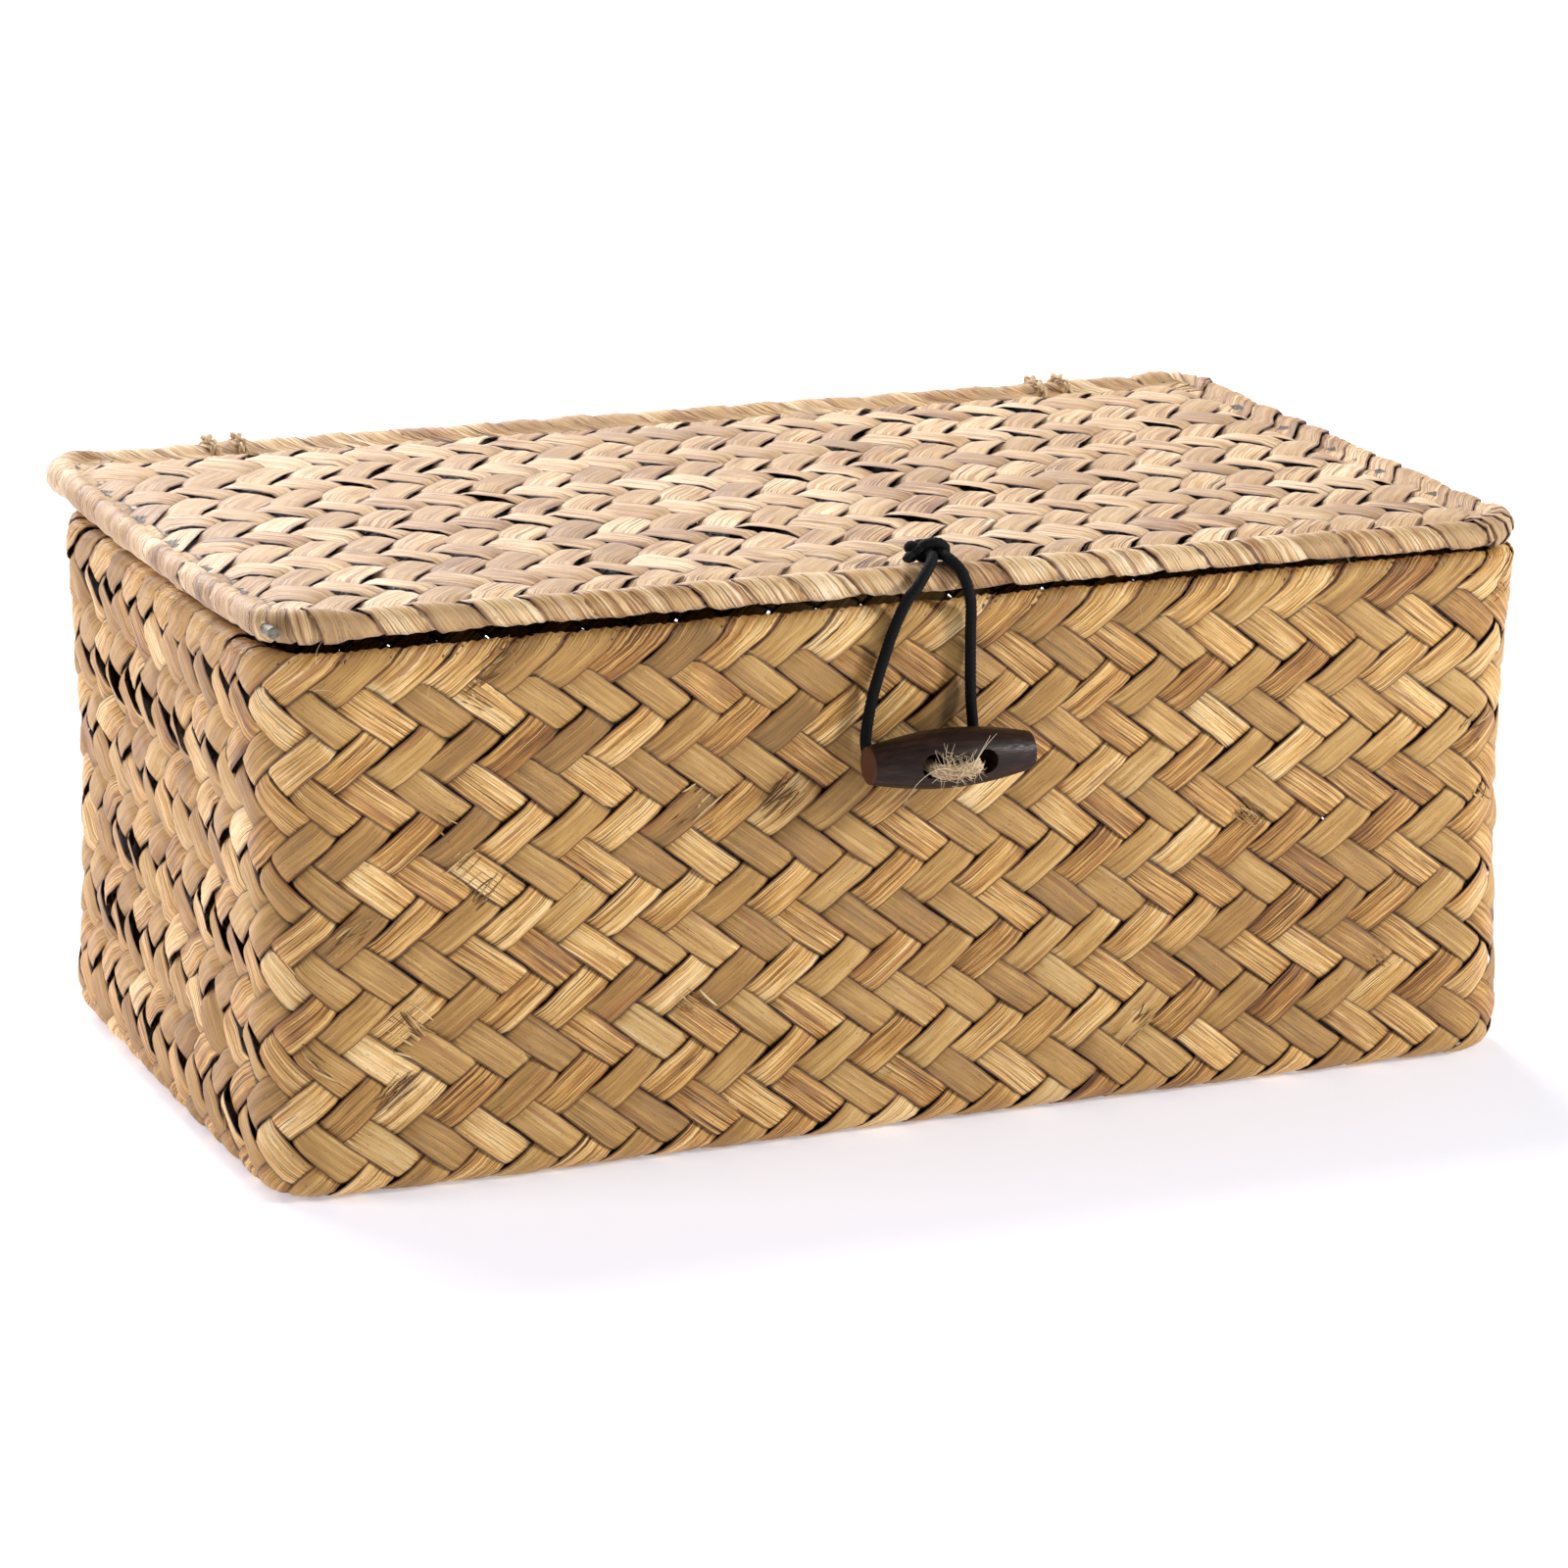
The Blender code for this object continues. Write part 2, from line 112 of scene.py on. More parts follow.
# Sizes repeated from the CAD source
BODY_CORNER = 0.016
LID_CORNER = 0.014
BASE_FILLET = 0.0060
WAIST = 0.0022
ROLL_RADIUS = 0.0033
WIRE_DRAWN_RADIUS = 0.0013  # thinner than the CAD's 0.0017, so that it stays under the strips
FIT_GAP = 0.0003
LID_BACK_RISE = 0.004
LID_FRONT_RISE = 0.002
PANEL_DROP = 0.0008
LID_BOTTOM = BODY_HEIGHT + FIT_GAP
LID_ROLL_Z = LID_BOTTOM + ROLL_RADIUS
PANEL_TOP = LID_BOTTOM + 2 * ROLL_RADIUS - PANEL_DROP
PANEL_INSET = 2 * ROLL_RADIUS

# The plaiting
STRIP_THICKNESS = 0.0005
WEAVE_DEPTH = 0.00092  # a strip's middle swings this far to each side of the plaiting's mid surface
SKIN = 0.0014  # mid surface to the outer face of the CAD shell
WALL_STRIPS = 73  # in each of the two families, round all four walls
WALL_SLOPE = 0.77  # rise of a wall strip for each metre along the wall
MAT_PITCH = 0.0120  # of the lid and the base, along X
TUCK_INSIDE = 0.013
BASE_LIFT = 0.0003  # keeps the strips' crowns off the floor
SPARE_INSIDE = 0.020  # length of the wall's section line below the rolled edge, inside
BASE_MIDDLE = 0.00175
MAT_WIDTH = MAT_PITCH / math.sqrt(2)
MOST_STRIPS = round((BODY_WIDTH + LID_DEPTH) / 2 / MAT_PITCH) + 1
MAT_NUMBERS = range(-MOST_STRIPS, MOST_STRIPS + 1)
WRAP_LIFT = 0.00055  # of the strips that wrap round the lid's wire
TUCK_DEPTH = 0.0008  # of the others, under the wraps
TUCKED_REACH = 0.0035
CORNER_CUT = 0.004  # a strip that stays that far off the flat panel is left out
CORNER_WRAPS = 4
CORNER_WRAP_LEAN = math.radians(38)
CORNER_WRAP_WIDTH = 0.0078
CORNER_REACH = 0.0205
WRAP_LAP = 0.00028  # each wrap's one edge lies that much higher, over its neighbour
WIRE_STICKS_OUT = 0.0120
WIRE_SETTLE = 0.0003  # the lid's wire lies that much lower and further out than the middle of its roll
PANEL_SAG = 0.0009  # the plaited panel lies that much lower than the CAD's
LID_DEEPER = 1.42  # its strips swing that much more than the walls'
LID_DISORDER = 1.6
LID_SKEW = 0.0020  # its back left corner reaches that much further out
LEFT_EDGE_SAG = 0.0022
RIGHT_BULGE = 0.0020
LOOSE_FROM = (0.002, 0.014)  # the walls go from flat to loose between these distances up from the base
SIDE_DISORDER = 2.2
SIDE_LOOSENESS = 0.60  # the two short walls are plaited less flat
TUCK_BASE = 0.012
STEP = 0.0021  # between the cross-sections of a ribbon
TEARS = 42
STAIN_TONE = (0.34, 0.120, 0.035)
FLOOR_GLOW = 0.36  # the floor is a lit table, which softens the shadows on it
FLOOR_HALF = 8.0

RNG = np.random.default_rng(867)


# ---------------- small maths
def smoothstep(low, high, x):
    t = np.clip((x - low) / (high - low), 0.0, 1.0)
    return t * t * (3 - 2 * t)


def layered(shape, *parts):
    """The parts spread over the shape and stacked into vectors."""
    return np.stack([np.broadcast_to(part, shape) for part in parts], axis=-1)


def running(steps):
    """The distance from the start at each point of a line, from the steps between its points."""
    return np.concatenate([[0.0], np.cumsum(steps)])


def wander(x, period, size):
    """A slow random wave along x."""
    phases = RNG.uniform(0, 2 * math.pi, 3)
    wave = np.sin(2 * math.pi * x / period + phases[0])
    wave += 0.6 * np.sin(2 * math.pi * x / (0.43 * period) + phases[1])
    wave += 0.35 * np.sin(2 * math.pi * x / (0.21 * period) + phases[2])
    return size * wave / 1.95


def arc_points(centre, radius, start, end, steps=14):
    """(out, up) points on an arc; 0 degrees points outwards and 90 degrees up."""
    angles = np.radians(np.linspace(start, end, steps))
    return [(centre[0] + radius * math.cos(a), centre[1] + radius * math.sin(a)) for a in angles]


class Profile:
    """A section line of (out, up) points, read by the distance along it."""

    def __init__(self, points, zero):
        """zero is the index of the point where the distance is 0."""
        self.points = np.array(points)
        length = running(np.hypot(*np.diff(self.points, axis=0).T))
        self.distance = length - length[zero]
        tangent = np.gradient(self.points, self.distance, axis=0)
        self.tangent = tangent / np.linalg.norm(tangent, axis=1)[:, None]

    @property
    def end(self):
        return self.distance[-1]

    def at(self, distance):
        """(out, up) and the tangent (out, up) at each distance."""
        values = [self.points[:, 0], self.points[:, 1], self.tangent[:, 0], self.tangent[:, 1]]
        return [np.interp(distance, self.distance, column) for column in values]


def outline(u, half_x, half_y, corner):
    """Points and outward normals at distances u round a rounded box, anticlockwise from its front left."""
    runs = (2 * (half_x - corner), 2 * (half_y - corner))
    quarter = math.pi / 2 * corner
    u = np.mod(u, 2 * sum(runs) + 4 * quarter)
    x, y, normal_x, normal_y = (np.zeros_like(u) for _ in range(4))
    corners = ((-1, -1), (1, -1), (1, 1), (-1, 1), (-1, -1))
    start = 0.0
    for side in range(4):
        run = runs[side % 2]
        here = (u >= start) & (u < start + run + quarter)
        share = np.clip((u[here] - start) / run, 0, 1)
        angle = math.radians(90 * side - 90) + np.maximum(u[here] - start - run, 0) / corner
        (from_x, from_y), (to_x, to_y) = corners[side], corners[side + 1]
        normal_x[here], normal_y[here] = np.cos(angle), np.sin(angle)
        x[here] = (half_x - corner) * (from_x + (to_x - from_x) * share) + corner * np.cos(angle)
        y[here] = (half_y - corner) * (from_y + (to_y - from_y) * share) + corner * np.sin(angle)
        start += run + quarter
    return x, y, normal_x, normal_y


PERIMETER = 2 * (BODY_WIDTH + BODY_DEPTH) - (8 - 2 * math.pi) * BODY_CORNER
HALF_ROUND = PERIMETER / 2
SIDE_PHASE = 0.5 - (BODY_WIDTH / 2 - BODY_CORNER) / HALF_ROUND  # puts the middles of the long walls at 0.5
WALL_PITCH = PERIMETER / WALL_STRIPS


# ---------------- the three curved surfaces
def wall_profile():
    """Mid surface of a wall, from under the base, up the outside, over the wire and down the inside."""
    top = BODY_HEIGHT - ROLL_RADIUS
    points = [(-0.0200, 0.0041), (-0.0120, 0.0040), (-0.0090, 0.0030)]
    zero = len(points)
    points += arc_points((-BASE_FILLET, BASE_FILLET), BASE_FILLET - SKIN - BASE_LIFT, -90, 0)[:-1]
    for share in np.linspace(0.04, 0.99, 24):
        z = BASE_FILLET + (top - BASE_FILLET) * share
        points.append((-SKIN - WAIST * math.sin(math.pi * share), z))
    roll_start = len(points)
    points += arc_points((-ROLL_RADIUS, top), ROLL_RADIUS - SKIN, 0, 180)
    down_inside = ((-0.0052, 0.002), (-0.0048, 0.006), (-0.0044, 0.012), (-0.0044, SPARE_INSIDE))
    points += [(out, top - below) for out, below in down_inside]
    profile = Profile(points, zero)
    return profile, profile.distance[roll_start]


WALL, WALL_TOP = wall_profile()


def spread(x):
    """The body bulges a little at its right end."""
    return x + RIGHT_BULGE * smoothstep(0.07, BODY_WIDTH / 2, x)


def wall_surface(u, v, lift):
    out, up, along_out, along_up = WALL.at(v)
    x, y, normal_x, normal_y = outline(u, BODY_WIDTH / 2, BODY_DEPTH / 2, BODY_CORNER)
    swell = 0.0004 * np.sin(u * 37.0) * np.sin(v * 41.0 + u * 13.0)
    out = out + lift * along_up + swell * (np.abs(v - WALL_TOP / 2) < WALL_TOP / 2)
    z = up - lift * along_out
    return np.stack([spread(x + normal_x * out), y + normal_y * out, z], axis=-1)


def lid_profile():
    """Mid surface of the lid's edge, outwards from the panel, round the wire and back under the panel."""
    middle = PANEL_TOP - SKIN - PANEL_SAG
    reach = ROLL_RADIUS - SKIN + 0.0003
    points = [(0.0, middle), (0.0006, middle + 0.0001)]
    points += arc_points((ROLL_RADIUS, LID_ROLL_Z), reach, 145, -100, 28)
    points += [(0.0012, LID_ROLL_Z - 0.0011), (-0.0020, middle - 0.0018), (-0.0260, middle - 0.0018)]
    return Profile(points, 0)


LID_EDGE = lid_profile()


def lid_rise(x, y):
    """Height of the lid over the rim: highest along the back, and falling to nothing at the front right."""
    towards_front = (LID_BACK - y) / LID_DEPTH
    towards_right = x / BODY_WIDTH + 0.5
    return LID_BACK_RISE * (1 - towards_front) + LID_FRONT_RISE * towards_front * (1 - towards_right)


def beyond_panel(x, y):
    """Distance outwards from the flat panel's outline, and the outward normal there."""
    corner = LID_CORNER - PANEL_INSET
    over_x = np.abs(x) - (BODY_WIDTH / 2 - PANEL_INSET - corner)
    over_y = np.abs(y - LID_CENTRE_Y) - (LID_DEPTH / 2 - PANEL_INSET - corner)
    out_x, out_y = np.maximum(over_x, 0), np.maximum(over_y, 0)
    length = np.hypot(out_x, out_y)
    distance = np.where(length > 0, length, np.maximum(over_x, over_y)) - corner
    safe = np.maximum(length, 1e-9)
    return distance, np.sign(x) * out_x / safe, np.sign(y - LID_CENTRE_Y) * out_y / safe


def lid_bent(x, y, z):
    """The flat lid as it lies: raised at the back, skewed at the back left and sagging on its left edge."""
    to_left = smoothstep(-0.06, BODY_WIDTH / 2, -x)
    to_back = smoothstep(FRONT, BACK, y)
    left_edge = smoothstep(BODY_WIDTH / 2 - 0.020, BODY_WIDTH / 2 - 0.004, -x)
    between_corners = np.sin(math.pi * np.clip((y - FRONT) / BODY_DEPTH, 0, 1))
    sag = LEFT_EDGE_SAG * left_edge * between_corners
    return np.stack([x - LID_SKEW * to_left * to_back, y, z + lid_rise(x, y) - sag], axis=-1)


def lid_surface(x, y, lift):
    distance, normal_x, normal_y = beyond_panel(x, y)
    beyond = np.maximum(distance, 0)
    out, up, along_out, along_up = LID_EDGE.at(beyond)
    shift = out - lift * along_up - beyond
    return lid_bent(x + normal_x * shift, y + normal_y * shift, up + lift * along_out)


def base_surface(x, y, lift):
    return np.stack([spread(x), y, BASE_MIDDLE - lift], axis=-1)


# ---------------- ribbons
ACROSS = np.array([-1.0, -0.90, -0.62, -0.30, 0.0, 0.30, 0.62, 0.90, 1.0])
UNDERSIDE = np.array([0.7, -0.7])
FLOATS = 48  # stretches of a strip that get a character of their own
FIRST_FLOAT = 8


def linked(name, data):
    obj = bpy.data.objects.new(name, data)
    bpy.context.scene.collection.objects.link(obj)
    return obj


class Pile:
    """Closed ribbons and tubes gathered into one mesh."""

    def __init__(self):
        self.points, self.faces, self.strip, self.look = [], [], [], []
        self.count = 0

    def add(self, rings, strip, look):
        """Adds a tube with closed ends. rings, strip and look have the shape (stations, sides, 3)."""
        stations, sides, _ = rings.shape
        base = self.count
        for kept, values in ((self.points, rings), (self.strip, strip), (self.look, look)):
            kept.append(values.reshape(-1, 3))
        self.count += stations * sides
        low = base + np.arange(stations - 1)[:, None] * sides
        high = low + sides
        j = np.arange(sides)
        side = (j + 1) % sides
        quads = np.stack([low + j, high + j, high + side, low + side], axis=-1)
        self.faces += quads.reshape(-1, 4).tolist()
        self.faces.append(list(range(base, base + sides)))
        self.faces.append(list(reversed(range(self.count - sides, self.count))))

    def finish(self, name, made_of):
        mesh = bpy.data.meshes.new(name)
        mesh.from_pydata(np.concatenate(self.points).tolist(), [], self.faces)
        mesh.update()
        mesh.shade_smooth()
        mesh.set_sharp_from_angle(angle=math.radians(60))
        for title, values in (("strip", self.strip), ("look", self.look)):
            layer = mesh.attributes.new(title, "FLOAT_VECTOR", "POINT")
            layer.data.foreach_set("vector", np.concatenate(values).astype(np.float32).ravel())
        mesh.materials.append(made_of)
        return linked(name, mesh)


def over_under(crossing):
    """A strip's height over the mid surface: over at crossings 0 and 1, under at the next two, and so on."""
    swing = np.clip(1.6 * np.cos(math.pi / 2 * (crossing - 0.5)), -1.0, 1.0)
    return WEAVE_DEPTH * np.sin(swing * math.pi / 2)


class Strip:
    """One leaf strip's random character: its side of the leaf, tone, width and waviness."""

    def __init__(self, index):
        self.fibrous = (index % 2 == 0) != (RNG.random() < 0.18)
        self.coarse = RNG.uniform(0.55, 1.0) if self.fibrous else RNG.uniform(0.0, 0.3)
        self.tone = RNG.normal(0.55 if self.fibrous else 0.46, 0.06)
        self.seed = RNG.uniform(0, 1)
        self.float_tone = RNG.normal(0, 0.075, FLOATS)
        self.float_coarse = RNG.normal(0, 0.16, FLOATS)
        self.float_tilt = RNG.normal(0, 0.00020, FLOATS)
        self.float_crown = RNG.uniform(0.00010, 0.00034, FLOATS) * (0.8 if self.fibrous else 1.2)
        self.width_share = RNG.uniform(0.955, 1.01)
        ridge = 0.00010 if self.fibrous else 0.00003
        self.ridges = RNG.uniform(-ridge, ridge, ACROSS.size)
        self.ridges[[0, -1]] = 0.0

    def each_float(self, values, crossing, blended=True):
        middles = (np.arange(FLOATS) - FIRST_FLOAT) * 2 + 0.5
        if blended:
            return np.interp(crossing, middles, values)
        return values[np.clip(np.floor((crossing + 0.5) / 2).astype(int) + FIRST_FLOAT, 0, FLOATS - 1)]


def lay_strip(pile, strip, surface, line, width, crossing, lift_of, facing=1, disorder=1.0):
    """Adds a closed ribbon along line (u, v) of a surface.

    crossing(u, v) counts the strips it has crossed. lift_of(crossing, u, v, across) is its height over the
    surface's middle. facing is -1 on a surface whose lift points down. disorder is how far it strays from
    a straight, even ribbon, as a number or as one number for each point of the line."""
    u, v = line
    du, dv = np.gradient(u), np.gradient(v)
    size = np.hypot(du, dv)
    run = running(np.hypot(np.diff(u), np.diff(v)))
    half = width / 2 * strip.width_share * (1 + 0.03 * (disorder - 1) + wander(run, 0.045, 0.05 * disorder))
    sway = wander(run, 0.12, 0.00040) + wander(run, 0.05, 0.00030 * (disorder - 1))
    across = np.concatenate([ACROSS, UNDERSIDE])
    side = sway[:, None] + half[:, None] * across
    point_u = u[:, None] - (dv / size)[:, None] * side
    point_v = v[:, None] + (du / size)[:, None] * side
    sideways = np.broadcast_to(across, side.shape)
    middle = crossing(u, v)
    tilt = strip.each_float(strip.float_tilt, middle) * disorder
    crown = strip.each_float(strip.float_crown, middle) * (1 + (disorder - 1) / 2)
    woven = lift_of(crossing(point_u, point_v), point_u, point_v, sideways)
    thickness = np.concatenate([0.5 - 0.35 * np.abs(ACROSS) ** 6, np.full(UNDERSIDE.size, -0.5)])
    ridges = np.concatenate([strip.ridges, np.zeros(UNDERSIDE.size)])
    lift = woven + crown[:, None] * (1 - across**2) + tilt[:, None] * across
    lift += ridges + STRIP_THICKNESS * thickness
    tone = strip.tone + strip.each_float(strip.float_tone, middle, blended=False)
    coarse = strip.coarse + strip.each_float(strip.float_coarse, middle, blended=False)
    # Painted shade: a strip's face is darkened in the material where it dips under the others, and its
    # underside where the strip lies over.
    painted_shade = np.clip(0.5 - 0.5 * woven / WEAVE_DEPTH, 0, 1)
    painted_shade[:, ACROSS.size :] = 1 - painted_shade[:, ACROSS.size :]
    layers = (
        surface(point_u, point_v, lift),
        layered(side.shape, run[:, None], across, strip.seed),
        layered(side.shape, tone[:, None], coarse[:, None], painted_shade),
    )
    pile.add(*(layer[:, ::facing] for layer in layers))


# ---------------- the walls
WALL_LEAN = math.atan(WALL_SLOPE)


def short_side(u):
    """1 on the two short walls, 0 on the long ones."""
    off_middle = np.abs(np.mod(u / HALF_ROUND + SIDE_PHASE, 1.0) - 0.5) * 2
    return smoothstep(0.62, 0.80, off_middle)


def wall_strip(index, pile, lean):
    """lean +1 rises to the right as seen from outside, folds over the wire and is tucked down inside.

    lean -1 rises to the left, and ends under the others at the wire."""
    strip = Strip(index)
    start = -TUCK_BASE + RNG.uniform(-0.002, 0.002)
    fold = WALL.end - SPARE_INSIDE + TUCK_INSIDE + RNG.uniform(-0.003, 0.002)
    v = np.arange(start, fold if lean > 0 else WALL_TOP - 0.0005, STEP * math.sin(WALL_LEAN))
    u = index * WALL_PITCH + lean * v / WALL_SLOPE

    def crossing(point_u, point_v):
        return lean * ((point_u + lean * point_v / WALL_SLOPE) / WALL_PITCH - index)

    def lift_of(crossed, point_u, point_v, _across):
        near_rim = smoothstep(WALL_TOP - 0.0060, WALL_TOP - 0.0025, point_v)
        under_base = smoothstep(0.0, -0.008, point_v)
        loose = 1 + SIDE_LOOSENESS * short_side(point_u) * smoothstep(*LOOSE_FROM, point_v)
        woven = lean * over_under(crossed) * loose * (1 - near_rim) * (1 - 0.5 * under_base)
        return woven + lean * 0.85 * WEAVE_DEPTH * near_rim

    width = WALL_PITCH * math.sin(WALL_LEAN)
    disorder = 1.2 + SIDE_DISORDER * short_side(u) * smoothstep(*LOOSE_FROM, v)
    lay_strip(pile, strip, wall_surface, (u, v), width, crossing, lift_of, disorder=disorder)


def grouped(title, ways, numbers, size, lay, made_of):
    """Lays two families of strips, named by ways, with so many strips to a piece."""
    for way, lean in zip(ways, (1, -1)):
        for first in range(0, len(numbers), size):
            pile = Pile()
            for number in numbers[first : first + size]:
                lay(number, pile, lean)
            if pile.count:
                yield pile.finish(f"{title}_{way}_{first // size + 1:02d}", made_of)


# ---------------- flat mats
def mat_line(offset, lean, distance, reach):
    """Points of the line x - lean * y = offset, over the stretch where distance(x, y) is below reach."""
    t = np.arange(-BODY_WIDTH, BODY_WIDTH, STEP / 4)
    x = offset / 2 + t
    y = lean * (t - offset / 2)
    near = np.nonzero(distance(x, y) < reach)[0]
    if near.size < 24:
        return None
    chosen = near[0] + np.arange(0, near[-1] - near[0], 4)
    return x[chosen], y[chosen]


def mat_crossing(number, lean, centre_y=0.0):
    def crossing(x, y):
        return lean * ((x + lean * (y - centre_y)) / MAT_PITCH - number)

    return crossing


def lid_strip(number, pile, lean):
    """lean +1 runs back to the right, and -1 forward to the right, as seen from above.

    Where it meets an edge leaning anticlockwise it wraps round the wire, and elsewhere it is tucked under."""
    reach = LID_EDGE.end - 0.001
    line = mat_line(number * MAT_PITCH, lean, lambda x, y: beyond_panel(x, y + LID_CENTRE_Y)[0], reach)
    if line is None:
        return
    x, y = line[0], line[1] + LID_CENTRE_Y
    beyond, normal_x, normal_y = beyond_panel(x, y)
    if beyond.min() > CORNER_CUT:
        return
    centre = x[np.argmin(beyond)]
    outward = np.where(x > centre, 1.0, -1.0)
    wraps = outward * (normal_x * lean - normal_y) > -0.25
    at_corner = np.abs(normal_x * normal_y) > 0.05
    keep = np.where(wraps, ~at_corner | (beyond < CORNER_REACH), beyond < TUCKED_REACH)
    x, y, wraps = x[keep], y[keep], wraps[keep]
    if x.size < 6:
        return

    def lift_of(crossed, point_x, point_y, across):
        near = smoothstep(-0.0055, -0.0005, beyond_panel(point_x, point_y)[0])
        at_end = point_x > centre
        lapped = WRAP_LIFT - WRAP_LAP * across * np.where(at_end, 1, -1)
        at_edge = np.where(np.where(at_end, wraps[-1], wraps[0]), lapped, -TUCK_DEPTH)
        return lean * LID_DEEPER * over_under(crossed) * (1 - near) + near * at_edge

    strip = Strip(number + (number % 2 if lean < 0 else 0))
    strip.width_share = RNG.uniform(1.04, 1.09)
    crossing = mat_crossing(number, lean, LID_CENTRE_Y)
    lay_strip(pile, strip, lid_surface, (x, y), MAT_WIDTH, crossing, lift_of, disorder=LID_DISORDER)


def pointing(angle):
    return np.array((math.cos(angle), math.sin(angle)))


def corner_wraps(made_of):
    """Wraps that fan out over the wire at the lid's four corners."""
    pile = Pile()
    for quarter, (side_x, side_y) in enumerate(((1, 1), (-1, 1), (-1, -1), (1, -1))):
        from_middle = (side_x * (BODY_WIDTH / 2 - LID_CORNER), side_y * (LID_DEPTH / 2 - LID_CORNER))
        centre = np.array((0, LID_CENTRE_Y)) + from_middle
        for number in range(CORNER_WRAPS):
            facing = math.pi / 2 * (quarter + (number + 0.5) / CORNER_WRAPS)
            t = np.arange(-0.0035, 2 * CORNER_REACH, STEP)
            start = centre + pointing(facing) * (LID_CORNER - PANEL_INSET)
            x, y = (start + pointing(facing + CORNER_WRAP_LEAN) * t[:, None]).T
            kept = beyond_panel(x, y)[0] < CORNER_REACH
            height = WRAP_LIFT + 0.00020 + 0.00010 * number
            lay_strip(
                pile,
                Strip(number + quarter),
                lid_surface,
                (x[kept], y[kept]),
                CORNER_WRAP_WIDTH,
                lambda x, y: np.zeros_like(x),
                lambda crossed, x, y, across, height=height: height - 2 * WRAP_LAP * across,
            )
    return pile.finish("lid_corner_wraps", made_of)


def base_strip(number, pile, lean):
    inset = BASE_FILLET + 0.0012

    def distance(x, y):
        return np.maximum(np.abs(x) - BODY_WIDTH / 2 + inset, np.abs(y) - BODY_DEPTH / 2 + inset)

    line = mat_line(number * MAT_PITCH, lean, distance, 0.0)
    if line is None:
        return

    def lift_of(crossed, _x, _y, _across):
        return lean * over_under(crossed)

    crossing = mat_crossing(number, lean)
    lay_strip(pile, Strip(number), base_surface, line, MAT_WIDTH, crossing, lift_of, facing=-1)


# ---------------- twine, cord and wire
def smooth_route(points, steps):
    """A Catmull-Rom curve through the points, with so many steps between each two."""
    points = np.array(points, float)
    ends = np.concatenate([[2 * points[0] - points[1]], points, [2 * points[-1] - points[-2]]])
    route = []
    for a, b, c, d in zip(ends, ends[1:], ends[2:], ends[3:]):
        for t in np.arange(steps) / steps:
            square = 2 * a - 5 * b + 4 * c - d
            cube = 3 * b - a - 3 * c + d
            route.append(0.5 * (2 * b + (c - a) * t + square * t**2 + cube * t**3))
    return np.array(route + [points[-1]])


def even_route(points, step):
    """The same line with its points a step apart."""
    length = running(np.linalg.norm(np.diff(points, axis=0), axis=1))
    places = np.linspace(0, length[-1], max(3, round(length[-1] / step)))
    return np.stack([np.interp(places, length, points[:, axis]) for axis in range(3)], axis=-1), places


def square_frames(route):
    """Two directions square to the route at each point, carried along without twist."""
    along = np.gradient(route, axis=0)
    along /= np.linalg.norm(along, axis=1)[:, None]
    start = np.cross(along[0], (0.0, 0.0, 1.0))
    if np.linalg.norm(start) < 0.1:
        start = np.cross(along[0], (0.0, 1.0, 0.0))
    first = np.zeros_like(route)
    carried = start
    for i, way in enumerate(along):
        carried = carried - way * carried.dot(way)
        carried = carried / np.linalg.norm(carried)
        first[i] = carried
    return first, np.cross(along, first)


def tube_rings(route, radius, sides):
    """Rings round the route, which turn the faces outwards. radius may be an array over (points, sides)."""
    first, second = square_frames(route)
    angles = np.linspace(2 * math.pi, 0, sides, endpoint=False)[None, :, None]
    outwards = first[:, None] * np.cos(angles) + second[:, None] * np.sin(angles)
    return route[:, None] + np.broadcast_to(radius, (len(route), sides))[:, :, None] * outwards


def add_tube(pile, route, radius, sides, tone=0.5):
    rings = tube_rings(route, radius, sides)
    along = np.cumsum(np.linalg.norm(np.diff(route, axis=0, prepend=route[:1]), axis=1))
    seed = RNG.uniform(0, 1)
    shape = rings.shape[:2]
    strip = layered(shape, along[:, None], np.linspace(0, 1, sides, endpoint=False), seed)
    pile.add(rings, strip, layered(shape, tone + RNG.normal(0, 0.12), seed, 0.0))


def add_yarn(pile, points, radius, strands, strand_radius, pitch, plies=1, looseness=0.0):
    """Fine strands laid round a route, twisted, and in two plies if asked."""
    route, places = even_route(points, 0.0005)
    first, second = square_frames(route)
    for number in range(strands):
        ply = number % plies
        turn = 2 * math.pi * places / pitch
        spot = RNG.uniform(0, 2 * math.pi)
        reach = (radius - strand_radius) * math.sqrt(RNG.uniform(0.35, 1.0))
        if plies > 1:
            middle = radius / 2 * np.exp(1j * (turn + 2 * math.pi * ply / plies))
            place = middle + reach / 2 * np.exp(1j * (spot - 1.7 * turn))
        else:
            place = reach * np.exp(1j * (spot + turn))
        place = place + wander(places, 0.006, looseness) + 1j * wander(places, 0.005, looseness)
        strand = route + first * place.real[:, None] + second * place.imag[:, None]
        add_tube(pile, strand, strand_radius * RNG.uniform(0.8, 1.2), 5)


def add_hair(pile, start, direction, length, radius, droop=0.0, curl=0.6, tone=0.6):
    """A loose fibre that wanders off from a point and tapers."""
    count = 14
    place = np.array(start, float)
    way = np.array(direction, float)
    way = way / np.linalg.norm(way)
    bend = RNG.normal(0, curl, 3)
    points = [place]
    for _ in range(count - 1):
        way = way + (bend + RNG.normal(0, curl * 0.5, 3)) / count + np.array((0, 0, -droop)) / count
        way = way / np.linalg.norm(way)
        place = place + way * length / (count - 1)
        points.append(place)
    taper = np.linspace(1.0, 0.45, count)[:, None] * np.ones((1, 4))
    add_tube(pile, np.array(points), radius * taper, 4, tone)


